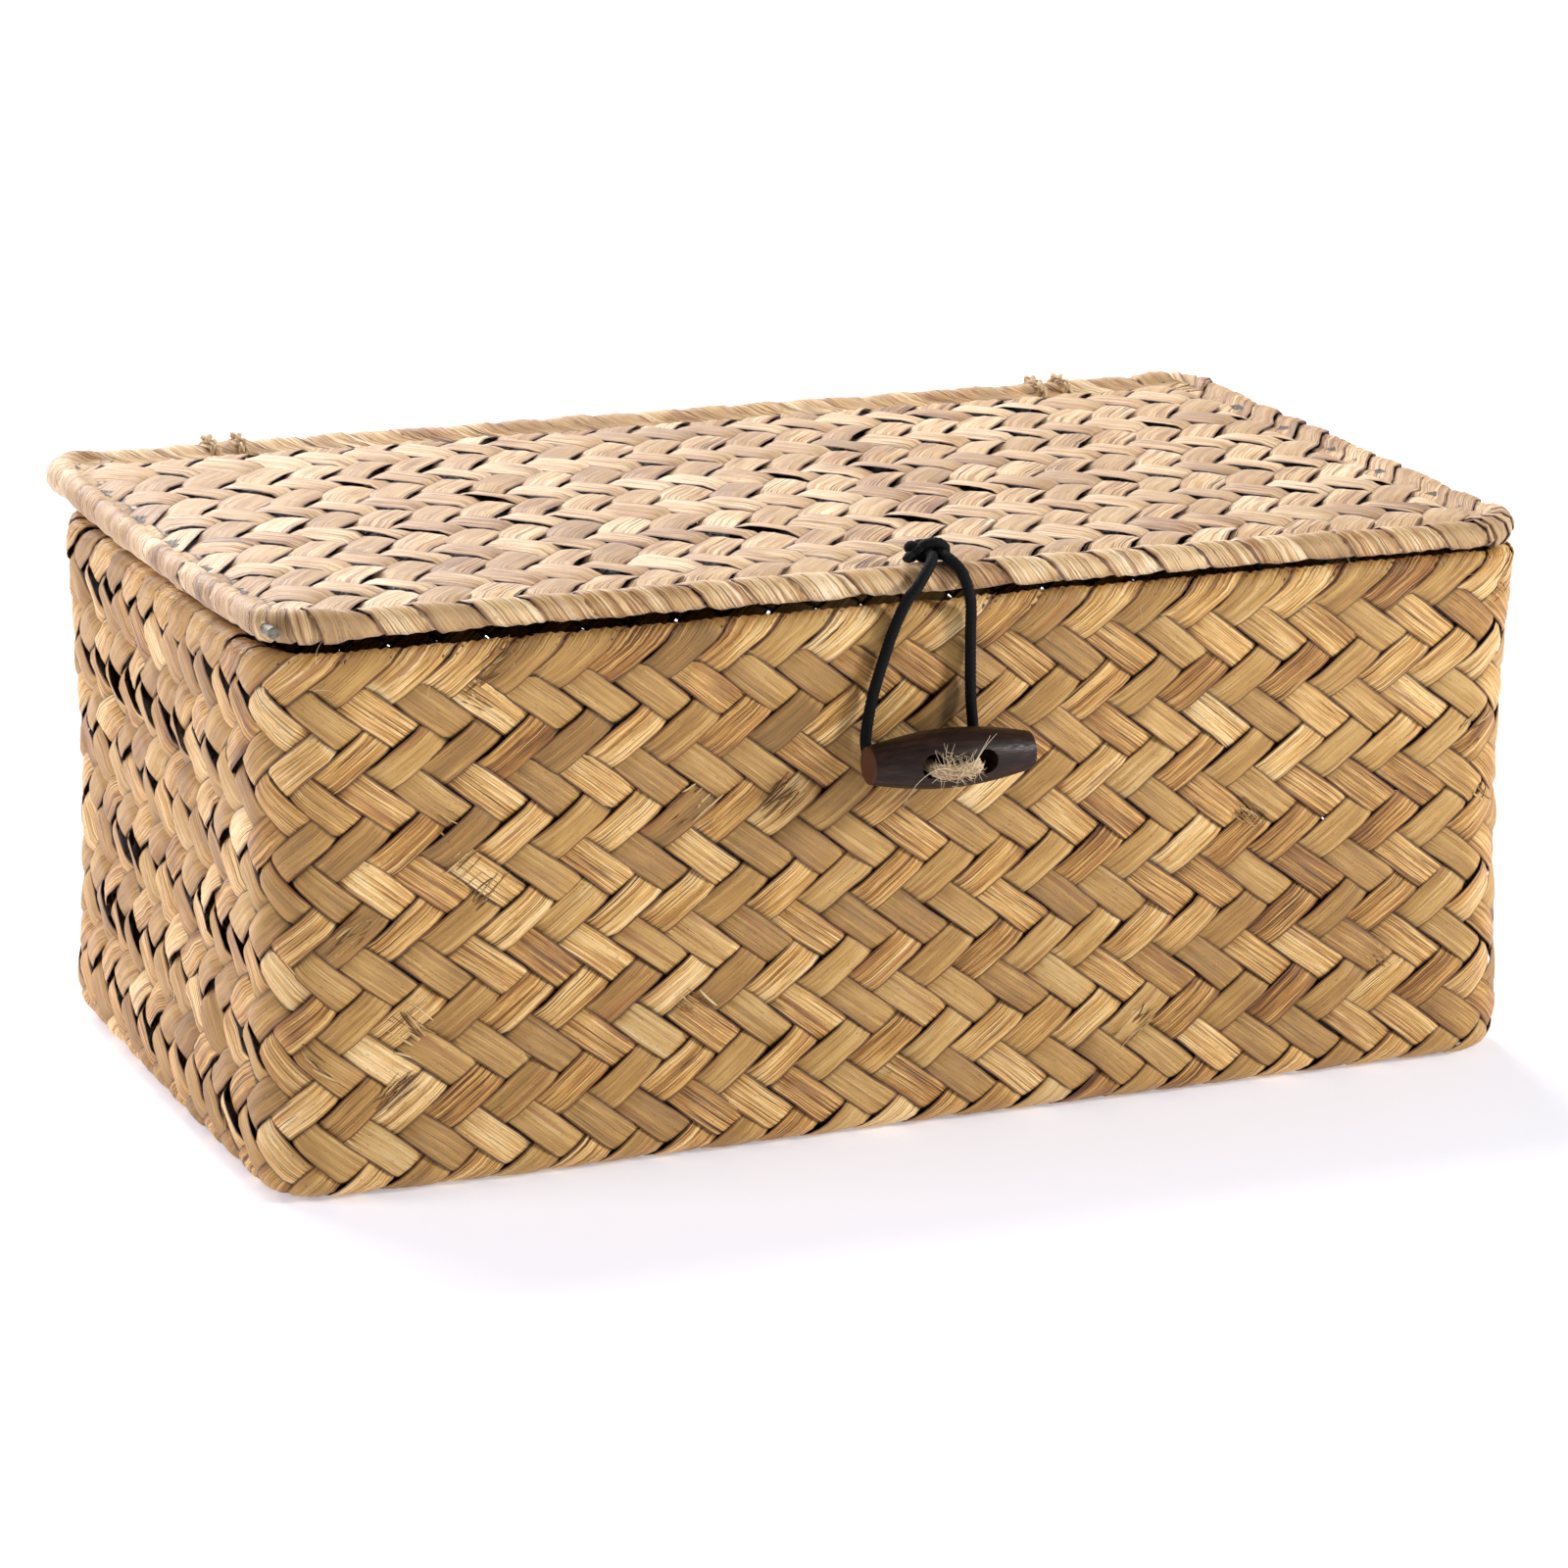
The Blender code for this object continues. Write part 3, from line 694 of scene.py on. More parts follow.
# ---------------- the wires
def rim_wire(name, inset, place, half_depth, corner, centre_y, made_of, start=0.0, stick_out=0.0):
    """A wire round an edge. place(x, y) gives its points, and stick_out is how far its end runs on."""
    half_x, half_y, bend = BODY_WIDTH / 2 - inset, half_depth - inset, corner - inset
    length = 4 * (half_x + half_y) - (8 - 2 * math.pi) * bend
    u = np.linspace(start, length - math.pi / 2 * bend, 420)
    x, y, _, _ = outline(u, half_x, half_y, bend)
    y = y + centre_y
    if stick_out:
        x = np.append(x, x[-1] - 0.0002)
        y = np.append(y, y[-1] - stick_out)
    pile = Pile()
    add_tube(pile, place(x, y), WIRE_DRAWN_RADIUS, 16)
    return pile.finish(name, made_of)


def body_wire(made_of):
    def place(x, y):
        return layered(x.shape, spread(x), y, BODY_HEIGHT - ROLL_RADIUS)

    return rim_wire("rim_wire_of_body", ROLL_RADIUS, place, BODY_DEPTH / 2, BODY_CORNER, 0.0, made_of)


def lid_wire(made_of):
    """Its cut end pokes out between the wraps at the front left corner."""

    def place(x, y):
        return lid_bent(x, y, np.full_like(x, LID_ROLL_Z - WIRE_SETTLE))

    size = (ROLL_RADIUS - WIRE_SETTLE, place, LID_DEPTH / 2, LID_CORNER, LID_CENTRE_Y)
    return rim_wire("rim_wire_of_lid", *size, made_of, start=0.004, stick_out=WIRE_STICKS_OUT)


# ---------------- the hinge lashings
TIE_X = 0.107
TIE_RADIUS = 0.0013
TIE_WRAP_SPACING = 0.007
TIE_SINK = 0.0011  # pulled tight, it beds into the strips
TIE_KNOT_RADIUS = 0.0026
TIE_KNOT_INSET = 0.0110
TIE_KNOT_DROP = 0.0115
BODY_LIP_ANGLE = math.radians(230)


def hinge_tie(side, sign, made_of):
    """Two turns of two-ply twine round both rims, through the lid and the wall, knotted inside."""
    inner_y = BACK - 2 * ROLL_RADIUS - FIT_GAP - TIE_RADIUS
    slot_z = BODY_HEIGHT - ROLL_RADIUS * (1 - math.sin(BODY_LIP_ANGLE)) - 3 * FIT_GAP - TIE_RADIUS
    lid_slot_y = LID_BACK - 2 * ROLL_RADIUS - 2 * FIT_GAP - TIE_RADIUS
    outer_y = LID_BACK + FIT_GAP + TIE_RADIUS
    roll_z = LID_ROLL_Z + LID_BACK_RISE
    reach = ROLL_RADIUS + FIT_GAP + TIE_RADIUS
    diagonal = math.sin(math.radians(48))
    knot = (sign * TIE_X, BACK - TIE_KNOT_INSET, BODY_HEIGHT - TIE_KNOT_DROP)
    route = [knot]
    for half_turn in (-0.5, 0.5):
        x = sign * TIE_X + half_turn * TIE_WRAP_SPACING
        section = (
            (inner_y + TIE_RADIUS, slot_z - FIT_GAP / 2),
            (BACK, slot_z),
            (BACK + 2 * TIE_RADIUS, slot_z + TIE_RADIUS),
            (outer_y - TIE_RADIUS / 2, BODY_HEIGHT),
            (outer_y + FIT_GAP, roll_z),
            (LID_BACK - ROLL_RADIUS + reach * diagonal, roll_z + reach * diagonal - TIE_SINK / 2),
            (LID_BACK - ROLL_RADIUS, roll_z + reach - TIE_SINK),
            (lid_slot_y + TIE_RADIUS / 4, roll_z + reach * diagonal - TIE_SINK),
            (lid_slot_y - TIE_RADIUS / 4, roll_z),
            (inner_y + TIE_RADIUS, BODY_HEIGHT + 2 * TIE_RADIUS),
            (inner_y - FIT_GAP, BODY_HEIGHT - TIE_RADIUS),
            (inner_y - TIE_RADIUS, slot_z + 2 * TIE_RADIUS),
        )
        route += [(x, y, z) for y, z in section]
    route.append(knot)
    pile = Pile()
    add_yarn(pile, smooth_route(route, 8), TIE_RADIUS, 18, 0.00030, 0.0075, plies=2, looseness=0.00010)
    add_knot(pile, knot, TIE_KNOT_RADIUS, 14, 0.00034)
    for _ in range(14):
        place = route[RNG.integers(5, 9) + 12 * RNG.integers(0, 2)]
        way = RNG.normal(0, 1, 3) + np.array((0, 0.5, 0.3))
        start = np.array(place) + RNG.normal(0, 0.0006, 3)
        add_hair(pile, start, way, RNG.uniform(0.0012, 0.0028), 0.00005, curl=1.2)
    return pile.finish("hinge_twine_" + side, made_of)


def trefoil(count, wide, deep, high):
    """A closed knotted line. wide and deep are a radius and a ripple each, and high is half its height."""
    t = np.linspace(0, 2 * math.pi, count)
    x = (wide[0] + wide[1] * np.cos(3 * t)) * np.cos(2 * t)
    y = (deep[0] + deep[1] * np.cos(3 * t)) * np.sin(2 * t)
    return layered(t.shape, x, y, high * np.sin(3 * t))


def add_knot(pile, centre, radius, strands, strand_radius):
    """A thumb knot: strands that follow a trefoil."""
    turn = (0.46 * radius, 0.24 * radius)
    route = np.array(centre) + trefoil(90, turn, turn, turn[1])[:, [0, 2, 1]] * 1.25
    add_yarn(pile, route, 0.42 * radius, strands, strand_radius, 0.008, looseness=0.00012)


# ---------------- the toggle and its lashing
TOGGLE_LENGTH = TOGGLE_HIGH[0] - TOGGLE_LOW[0]
TOGGLE_MIDDLE_RADIUS = (TOGGLE_HIGH[2] - TOGGLE_LOW[2]) / 2
TOGGLE_Y = (TOGGLE_HIGH[1] + TOGGLE_LOW[1]) / 2
TOGGLE_HEIGHT = (TOGGLE_HIGH[2] + TOGGLE_LOW[2]) / 2
TOGGLE_END_RADIUS = 0.0041
TOGGLE_SWELL = 0.9
TOGGLE_EASE = 0.0005
TOGGLE_HOLE_OFFSET = 0.0062
TOGGLE_HOLE_RADIUS = 0.0027
LASHING_RADIUS = 0.0019


def bare_solid(name, rings):
    """One closed solid, with no material yet."""
    pile = Pile()
    pile.add(rings, np.zeros_like(rings), np.zeros_like(rings))
    return pile.finish(name, None)


def spindle():
    """The toggle before it is drilled, as rings along X."""
    half = TOGGLE_LENGTH / 2
    shares = np.linspace(0, 1, 41)
    swell = (TOGGLE_MIDDLE_RADIUS - TOGGLE_END_RADIUS) * np.abs(np.sin(math.pi * shares)) ** TOGGLE_SWELL
    end = TOGGLE_END_RADIUS - TOGGLE_EASE * np.array((2, 1))
    between = (shares - 0.5) * (TOGGLE_LENGTH - TOGGLE_EASE)
    x = np.concatenate([[-half, -half], between, [half, half]])[:, None]
    radius = np.concatenate([end, TOGGLE_END_RADIUS + swell, end[::-1]])[:, None]
    angles = np.linspace(2 * math.pi, 0, 64, endpoint=False)
    y, z = TOGGLE_Y + radius * np.cos(angles), TOGGLE_HEIGHT + radius * np.sin(angles)
    return bare_solid("toggle_spindle", layered(y.shape, x, y, z))


def modify(obj, kind, **settings):
    made = obj.modifiers.new(kind.lower(), kind)
    for key, value in settings.items():
        setattr(made, key, value)


def toggle_bar(made_of):
    """A turned spindle with eased ends and two drilled holes with eased rims."""
    bar = spindle()
    for sign in (-1, 1):
        guide = drill_guide(sign * TOGGLE_HOLE_OFFSET)
        modify(bar, "BOOLEAN", operation="DIFFERENCE", object=guide, solver="EXACT")
    modify(bar, "BEVEL", width=0.00035, segments=3, limit_method="ANGLE", angle_limit=math.radians(38))
    bpy.context.view_layer.update()
    finished = bpy.data.meshes.new_from_object(bar.evaluated_get(bpy.context.evaluated_depsgraph_get()))
    bar.modifiers.clear()
    bar.data = finished
    for guide in [o for o in bpy.data.objects if o.name.startswith("drill_guide")]:
        bpy.data.objects.remove(guide)
    finished.shade_smooth()
    finished.set_sharp_from_angle(angle=math.radians(50))
    finished.materials.clear()
    finished.materials.append(made_of)
    return bar


def drill_guide(x):
    reach = 2 * TOGGLE_MIDDLE_RADIUS
    route = np.array([(x, TOGGLE_Y - reach, TOGGLE_HEIGHT), (x, TOGGLE_Y + reach, TOGGLE_HEIGHT)])
    return bare_solid("drill_guide", tube_rings(route, TOGGLE_HOLE_RADIUS, 40))


def toggle_lashing(made_of):
    """Jute through both holes of the toggle, and through the wall to a knot inside, frayed where it shows."""
    front = TOGGLE_Y - TOGGLE_MIDDLE_RADIUS - FIT_GAP - LASHING_RADIUS
    back = TOGGLE_Y + TOGGLE_MIDDLE_RADIUS + FIT_GAP + LASHING_RADIUS
    x, z = TOGGLE_HOLE_OFFSET, TOGGLE_HEIGHT - 0.0006
    pull = 0.0015  # the twine lies against the right hole's near edge, and leaves the rest open
    route = [
        (0, back, z),
        (-x * 0.65, back - 0.0004, z),
        (-x + 0.0006, TOGGLE_Y + 0.0035, z),
        (-x + 0.0004, TOGGLE_Y - 0.0035, z),
        (-x + 0.0014, front + 0.0022, z - 0.0004),
        (-x * 0.45, front + 0.0004, z - 0.0004),
        (0, front + 0.0003, z),
        (x * 0.30, front + 0.0007, z),
        (x * 0.56, front + 0.0020, z),
        (x - pull - 0.0006, front + 0.0040, z),
        (x - pull, TOGGLE_Y - 0.0010, z),
        (x - pull / 2, TOGGLE_Y + 0.0035, z),
        (x * 0.65, back - 0.0004, z),
        (0, back, z),
    ]
    pile = Pile()
    add_yarn(pile, smooth_route(route, 8), 0.8 * LASHING_RADIUS, 46, 0.00026, 0.022, looseness=0.00024)
    knot = (0, LASHING_HIGH[1] - 0.0030, z + 0.0004)
    add_yarn(pile, np.array([(0, back, z + 0.0004), knot]), 0.0016, 22, 0.00032, 0.012)
    add_knot(pile, knot, 0.0031, 16, 0.00034)
    for _ in range(150):
        share = RNG.uniform(-1, 0.55)
        start = (share * x * 0.85, front + RNG.uniform(-0.0012, 0.0016), z + RNG.normal(0, 0.0012))
        way = np.array((RNG.normal(-0.4, 0.9), RNG.uniform(-1.0, 0.1), RNG.normal(0.25, 0.8)))
        length = RNG.uniform(0.0015, 0.0042) * (1.5 if share < -0.3 else 1.0)
        add_hair(pile, start, way, length, RNG.uniform(0.00005, 0.00009), curl=1.6, tone=0.72)
    long_hairs = (((-1.0, -0.25, 0.55), 0.0155), ((0.45, -0.2, 1.0), 0.0095), ((0.25, -0.3, 1.0), 0.0080))
    for way, length in long_hairs:
        start = (-0.004 if way[0] < 0 else 0.001, front - 0.0012, z + 0.0008)
        add_hair(pile, start, way, length, 0.00009, droop=1.6 if way[0] < 0 else 0.0, curl=0.5, tone=0.85)
    return pile.finish("toggle_jute", made_of)


# ---------------- the elastic
ELASTIC_RADIUS = 0.00125
ELASTIC_KNOT_X = 0.0022
ELASTIC_KNOT_INSET = 0.0068
ELASTIC_STEM_INSET = 0.0078


def elastic_route():
    """The loop, from the knot on the lid, over its front edge, down behind the toggle and back up."""
    wall = FRONT - FIT_GAP - ELASTIC_RADIUS
    rim = wall - 2 * FIT_GAP
    return (
        (0.0013, -0.0783, 0.1295),
        (0.0007, -0.0796, 0.1291),
        (-0.0005, -0.0811, 0.1281),
        (-0.0025, -0.0824, 0.1261),
        (-0.0044, rim, 0.1239),
        (-0.0065, rim, 0.1216),
        (-0.0089, wall, 0.1162),
        (-0.0110, wall, 0.1107),
        (-0.0139, wall, 0.1015),
        (-0.0153, wall, 0.0945),
        (-0.0155, wall, 0.0895),
        (-0.0134, wall, 0.0850),
        (-0.0075, wall, 0.0828),
        (0.0000, wall, 0.0822),
        (0.0062, wall, 0.0830),
        (0.0093, wall, 0.0858),
        (0.0099, wall, 0.0905),
        (0.0092, wall, 0.0980),
        (0.0089, wall, 0.1060),
        (0.0088, wall, 0.1130),
        (0.0085, rim, 0.1190),
        (0.0078, rim, 0.1225),
        (0.0067, -0.0824, 0.1261),
        (0.0054, -0.0811, 0.1281),
        (0.0044, -0.0796, 0.1291),
        (0.0041, -0.0783, 0.1295),
    )


def add_braid(pile, points, radius):
    """A round braided cover: crossing ridges round the cord, and fine fuzz."""
    sides = 24
    route, places = even_route(np.array(points), 0.00030)
    angles = np.linspace(0, 2 * math.pi, sides, endpoint=False)
    twist = 2 * math.pi * places[:, None] / 0.0055
    ridges = np.cos(6 * angles + 3 * twist) * np.cos(6 * angles - 3 * twist)
    add_tube(pile, route, radius * (0.95 + 0.09 * ridges), sides)
    for _ in range(int(places[-1] / 0.00035)):
        i = RNG.integers(2, len(route) - 2)
        way = RNG.normal(0, 1, 3)
        way /= np.linalg.norm(way)
        start = route[i] + way * radius * 0.9
        add_hair(pile, start, way + RNG.normal(0, 0.6, 3), 0.0007, 0.00003, curl=1.5)


def elastic_loop(made_of):
    pile = Pile()
    add_braid(pile, smooth_route(elastic_route(), 8), ELASTIC_RADIUS)
    return pile.finish("elastic_braid_loop", made_of)


def elastic_knot(made_of):
    """A fat knot on the rim, a strand arched over the loop's two ends, and a stopper under the lid."""
    x, y = ELASTIC_KNOT_X, FRONT + ELASTIC_KNOT_INSET
    stem_y = FRONT + ELASTIC_STEM_INSET
    panel = PANEL_TOP + float(lid_rise(x, stem_y))
    z = panel + 0.0023
    pile = Pile()
    bulb = trefoil(60, (1.9, 0.9), (0.9, 0.5), 1.0) * 0.00082 * np.array((1, 1.3, 1.5))
    add_braid(pile, np.array((x - 0.0024, y, z + 0.0003)) + bulb, ELASTIC_RADIUS * 0.96)
    arch = (
        (x - 0.0030, y - 0.0006, z + 0.0004),
        (x - 0.0012, y - 0.0016, z + 0.0020),
        (x + 0.0012, y - 0.0022, z + 0.0022),
        (x + 0.0030, y - 0.0018, z + 0.0010),
        (x + 0.0032, y - 0.0004, z - 0.0008),
        (x + 0.0014, y + 0.0010, z - 0.0008),
    )
    add_braid(pile, smooth_route(arch, 6), ELASTIC_RADIUS)
    tail = (
        (x - 0.0034, y - 0.0010, z - 0.0002),
        (x - 0.0052, y - 0.0016, z - 0.0004),
        (x - 0.0060, y - 0.0020, z - 0.0012),
    )
    add_braid(pile, smooth_route(tail, 5), ELASTIC_RADIUS * 0.9)
    for sign in (-1, 1):
        end = (
            (x, y, z),
            (x + sign * 0.0008, y - 0.0015, z + 0.0002),
            (x + 0.0005 + sign * 0.0014, elastic_route()[0][1], z - 0.0001),
        )
        add_braid(pile, smooth_route(end, 5), ELASTIC_RADIUS * 0.97)
    add_braid(pile, np.array([(x, stem_y, z), (x, stem_y, panel - 0.0040)]), ELASTIC_RADIUS * 0.95)
    stopper = trefoil(60, (1, 0.4), (1, 0.4), 0.5) * 0.0008
    add_braid(pile, np.array((x, stem_y, panel - 0.0044)) + stopper, ELASTIC_RADIUS * 0.9)
    return pile.finish("elastic_braid_knot", made_of)


# ---------------- torn and loose fibres
def add_sliver(pile, surface, place, way, length, width, rise, tone):
    """A split of leaf that lies along a strip and peels away from it towards its end.

    place and way are on the surface's flat plan, as complex numbers u + iv."""
    t = np.linspace(0, 1, 10)
    heading = way * np.exp(1j * RNG.normal(0, 0.13))
    bow = RNG.normal(0, 0.07) * length
    centre = place + heading * (length * t + 1j * bow * t**2)
    half = width / 2 * np.interp(t, (0, 0.15, 0.8, 1), (0.4, 1, 0.9, 0.25))
    lift = 0.0012 + rise * t**2 * (1 + 0.3 * np.sin(5 * t + RNG.uniform(0, 6)))
    roll = RNG.normal(0, 0.7) * t
    across = np.array((-1.0, 0.0, 1.0, 0.0))
    over = np.array((0.0, 0.00010, 0.0, -0.00006))
    side = centre[:, None] + 1j * heading * half[:, None] * across
    height = lift[:, None] + over + (half * np.sin(roll))[:, None] * across
    strip = layered(side.shape, (t * length)[:, None], across * 0.3, RNG.uniform(0, 1))
    pile.add(surface(side.real, side.imag, height), strip, layered(side.shape, tone, 0.9, 0.0))


def family_on_top(u, v):
    """+1 where a strip that rises to the right lies over the others on the wall, and -1 elsewhere."""
    number = round((u - v / WALL_SLOPE) / WALL_PITCH)
    crossing = (u + v / WALL_SLOPE) / WALL_PITCH - number
    return 1 if over_under(crossing) > 0 else -1


def torn_walls(made_of):
    """Tears: here and there a strip's face has split into slivers, some of them peeling."""
    pile = Pile()
    for _ in range(TEARS):
        u, v = RNG.uniform(0, PERIMETER), RNG.uniform(0.012, WALL_TOP - 0.004)
        way = complex(math.cos(WALL_LEAN) * family_on_top(u, v), math.sin(WALL_LEAN)) * RNG.choice((-1, 1))
        for _ in range(RNG.integers(4, 16)):
            along, beside = RNG.normal(0, 0.0016), RNG.normal(0, 0.0017)
            place = complex(u, v) + way * complex(along, beside)
            tone = RNG.choice((RNG.uniform(0.12, 0.32), RNG.uniform(0.55, 0.85)))
            length, width = RNG.uniform(0.003, 0.009), RNG.uniform(0.0002, 0.0006)
            rise = RNG.uniform(0.0, 0.0009)
            add_sliver(pile, wall_surface, place, way, length, width, rise, tone)
    return pile.finish("torn_slivers_of_walls", made_of)


def loose_fibres(made_of):
    """Hairs that stand off the rim of the body at the front and the left."""
    pile = Pile()
    for _ in range(46):
        u, v = RNG.uniform(-0.12, 0.27), WALL_TOP + RNG.uniform(-0.006, 0.001)
        base, start = wall_surface(np.full(2, u), np.full(2, v), np.array((0.0, 0.0010)))
        way = (start - base) / 0.001 * 0.5 + RNG.normal(0, 0.7, 3)
        add_hair(pile, start, way, RNG.uniform(0.002, 0.007), 0.00006, droop=0.5, curl=0.9, tone=0.7)
    return pile.finish("loose_fibres_of_rim", made_of)


# ---------------- materials
class Nodes:
    """Builds a material's node tree. Inputs may be sockets, numbers or vectors."""

    def __init__(self, name):
        self.material = bpy.data.materials.new(name)
        self.material.use_nodes = True
        self.tree = self.material.node_tree
        self.shader = self.tree.nodes["Principled BSDF"]

    def put(self, socket, value):
        if isinstance(value, bpy.types.NodeSocket):
            self.tree.links.new(value, socket)
        elif isinstance(value, tuple) and len(value) == 3 and socket.type == "RGBA":
            socket.default_value = (*value, 1.0)
        else:
            socket.default_value = value

    def node(self, kind, inputs=(), **settings):
        made = self.tree.nodes.new(kind)
        for key, value in settings.items():
            setattr(made, key, value)
        for key, value in dict(inputs).items():
            self.put(made.inputs[key], value)
        return made

    def shade(self, inputs):
        """Fills the shader's own sockets and gives the finished material."""
        for key, value in inputs.items():
            self.put(self.shader.inputs[key], value)
        return self.material

    def math(self, operation, a, b=0.0):
        return self.node("ShaderNodeMath", {0: a, 1: b}, operation=operation).outputs[0]

    def plus(self, a, b):
        return self.math("ADD", a, b)

    def times(self, a, b):
        return self.math("MULTIPLY", a, b)

    def parts(self, vector):
        return self.node("ShaderNodeSeparateXYZ", {0: vector}).outputs

    def attribute(self, name):
        return self.parts(self.node("ShaderNodeAttribute", attribute_name=name).outputs["Vector"])

    def place(self):
        return self.node("ShaderNodeTexCoord").outputs["Object"]

    def noise(self, vector, scale=1.0, detail=2.0, roughness=0.5):
        inputs = {"Vector": vector, "Scale": scale, "Detail": detail, "Roughness": roughness}
        return self.node("ShaderNodeTexNoise", inputs).outputs[0]

    def grain(self, places, scales, detail=2.0, roughness=0.5):
        """Noise with a scale of its own for each of the three places."""
        scaled = {axis: self.times(place, scale) for axis, (place, scale) in enumerate(zip(places, scales))}
        return self.noise(self.node("ShaderNodeCombineXYZ", scaled).outputs[0], 1.0, detail, roughness)

    def ramp(self, value, stops):
        """stops: (place, colour) pairs."""
        made = self.node("ShaderNodeValToRGB", {0: value})
        points = made.color_ramp.elements
        while len(points) < len(stops):
            points.new(1.0)
        for point, (place, colour) in zip(points, stops):
            point.position = place
            point.color = (*colour, 1.0)
        return made.outputs[0]

    def range(self, value, low, high, to_low=0.0, to_high=1.0):
        inputs = {"Value": value, "From Min": low, "From Max": high, "To Min": to_low, "To Max": to_high}
        return self.node("ShaderNodeMapRange", inputs, interpolation_type="SMOOTHSTEP").outputs[0]

    def mix(self, share, a, b):
        return self.node("ShaderNodeMix", {0: share, 6: a, 7: b}, data_type="RGBA").outputs[2]

    def bump(self, height, strength, distance):
        inputs = {"Height": height, "Strength": strength, "Distance": distance}
        return self.node("ShaderNodeBump", inputs).outputs[0]


def leaf_material(name, tones, smooth_tone, edge_tone, painted_shade_tone, sheen):
    """Split leaf: fine lengthwise fibres, splits on its fibrous side, darker edges, and painted shade in the
    hollows where a strip dips under the others.
    """
    g = Nodes(name)
    along, across, seed = g.attribute("strip")
    tone, coarse, painted_shade = g.attribute("look")

    def fibres(length, fineness, detail=2.0):
        return g.grain((along, across, seed), (length, fineness, 61.0), detail)

    def centred(value, size):
        return g.times(g.math("SUBTRACT", value, 0.5), size)

    patches = fibres(60.0, 0.9, 3.0)
    bands = fibres(30.0, 4.2)
    fine = fibres(60.0, 15.0, 3.0)
    finest = fibres(170.0, 34.0)
    fibrous = g.range(coarse, 0.25, 0.7)
    cracks = g.times(g.range(fibres(48.0, 15.0, 1.0), 0.345, 0.305), fibrous)
    fine_tones = g.times(centred(fine, 1.35), g.range(fibrous, 0.0, 1.0, 0.45, 1.0))
    value = tone
    for part in (centred(patches, 0.50), centred(bands, 0.70), fine_tones, centred(finest, 0.50)):
        value = g.plus(value, part)
    colour = g.ramp(value, tones)
    colour = g.mix(g.range(fibrous, 0.0, 1.0, 0.42, 0.0), colour, smooth_tone)
    specks = g.range(fibres(650.0, 9.0, 3.0), 0.63, 0.70, 0.0, 0.45)
    colour = g.mix(specks, colour, edge_tone)
    stains = g.range(fibres(30.0, 1.7, 4.0), 0.60, 0.70, 0.0, 0.60)
    colour = g.mix(stains, colour, STAIN_TONE)
    rim = g.plus(g.math("ABSOLUTE", across), centred(bands, 0.16))
    colour = g.mix(g.range(rim, 0.87, 0.94, 0.0, 0.86), colour, edge_tone)
    # The splits are real; their near-black colour is painted shade inside them.
    colour = g.mix(g.times(cracks, 0.88), colour, painted_shade_tone)
    # Painted shade: near black where the strip dips under the others.
    colour = g.mix(g.range(painted_shade, 0.34, 0.62, 0.0, 0.92), colour, painted_shade_tone)
    height = g.plus(g.times(fine, 0.9), g.times(finest, 0.35))
    height = g.plus(height, g.times(bands, 0.9))
    height = g.math("SUBTRACT", height, g.times(cracks, 1.6))
    return g.shade(
        {
            "Base Color": colour,
            "Roughness": g.range(fine, 0.3, 0.7, 0.40, 0.62),
            "Specular IOR Level": 0.40,
            "Sheen Weight": sheen,
            "Sheen Roughness": 0.38,
            "Sheen Tint": (1.0, 0.93, 0.93),
            "Normal": g.bump(height, 0.8, 0.0005),
        }
    )


def wall_leaf():
    tones = (
        (0.10, (0.120, 0.042, 0.010)),
        (0.32, (0.350, 0.148, 0.032)),
        (0.50, (0.570, 0.294, 0.072)),
        (0.66, (0.780, 0.468, 0.155)),
        (0.88, (0.980, 0.720, 0.370)),
    )
    # The last colour is painted shade, for the hollows and the splits.
    return leaf_material(
        "leaf_strip_body", tones, (0.400, 0.252, 0.080), (0.130, 0.042, 0.012), (0.022, 0.007, 0.003), 0.08
    )


def lid_leaf_painted_paler():
    # Painted light: the lid's tones are paler and pinker than the walls', standing in for the strong light
    # from above and behind on its top.
    tones = (
        (0.10, (0.140, 0.055, 0.020)),
        (0.32, (0.350, 0.165, 0.052)),
        (0.50, (0.565, 0.338, 0.138)),
        (0.68, (0.755, 0.520, 0.262)),
        (0.92, (0.935, 0.755, 0.510)),
    )
    # The last colour is painted shade, for the hollows and the splits.
    return leaf_material(
        "leaf_strip_lid", tones, (0.492, 0.330, 0.156), (0.180, 0.062, 0.024), (0.020, 0.007, 0.003), 0.42
    )


def twine_material():
    g = Nodes("jute_twine")
    tone = g.attribute("look")[0]
    fine = g.grain(g.attribute("strip"), (900.0, 3.0, 37.0), 3.0)
    value = g.plus(tone, g.times(g.math("SUBTRACT", fine, 0.5), 0.9))
    stops = ((0.1, (0.22, 0.13, 0.06)), (0.45, (0.52, 0.37, 0.20)), (0.8, (0.74, 0.60, 0.40)))
    colour = g.ramp(value, stops)
    return g.shade({"Base Color": colour, "Roughness": 0.75, "Normal": g.bump(fine, 0.4, 0.0001)})


def elastic_material():
    g = Nodes("black_elastic")
    fine = g.grain(g.attribute("strip"), (4200.0, 26.0, 0.0), 3.0)
    stops = ((0.40, (0.0008, 0.0008, 0.001)), (0.78, (0.014, 0.014, 0.015)))
    return g.shade(
        {
            "Base Color": g.ramp(fine, stops),
            "Roughness": g.range(fine, 0.3, 0.7, 0.60, 0.85),
            "Specular IOR Level": 0.14,
            "Sheen Weight": 0.01,
            "Sheen Roughness": 0.4,
            "Normal": g.bump(fine, 0.6, 0.0001),
        }
    )


def wire_material():
    g = Nodes("dull_wire")
    mottle = g.noise(g.place(), 900.0, 4.0, 0.6)
    return g.shade(
        {
            "Base Color": g.ramp(mottle, ((0.35, (0.10, 0.085, 0.06)), (0.7, (0.30, 0.27, 0.21)))),
            "Roughness": g.range(mottle, 0.3, 0.7, 0.45, 0.7),
            "Metallic": 0.6,
            "Normal": g.bump(mottle, 0.3, 0.0001),
        }
    )


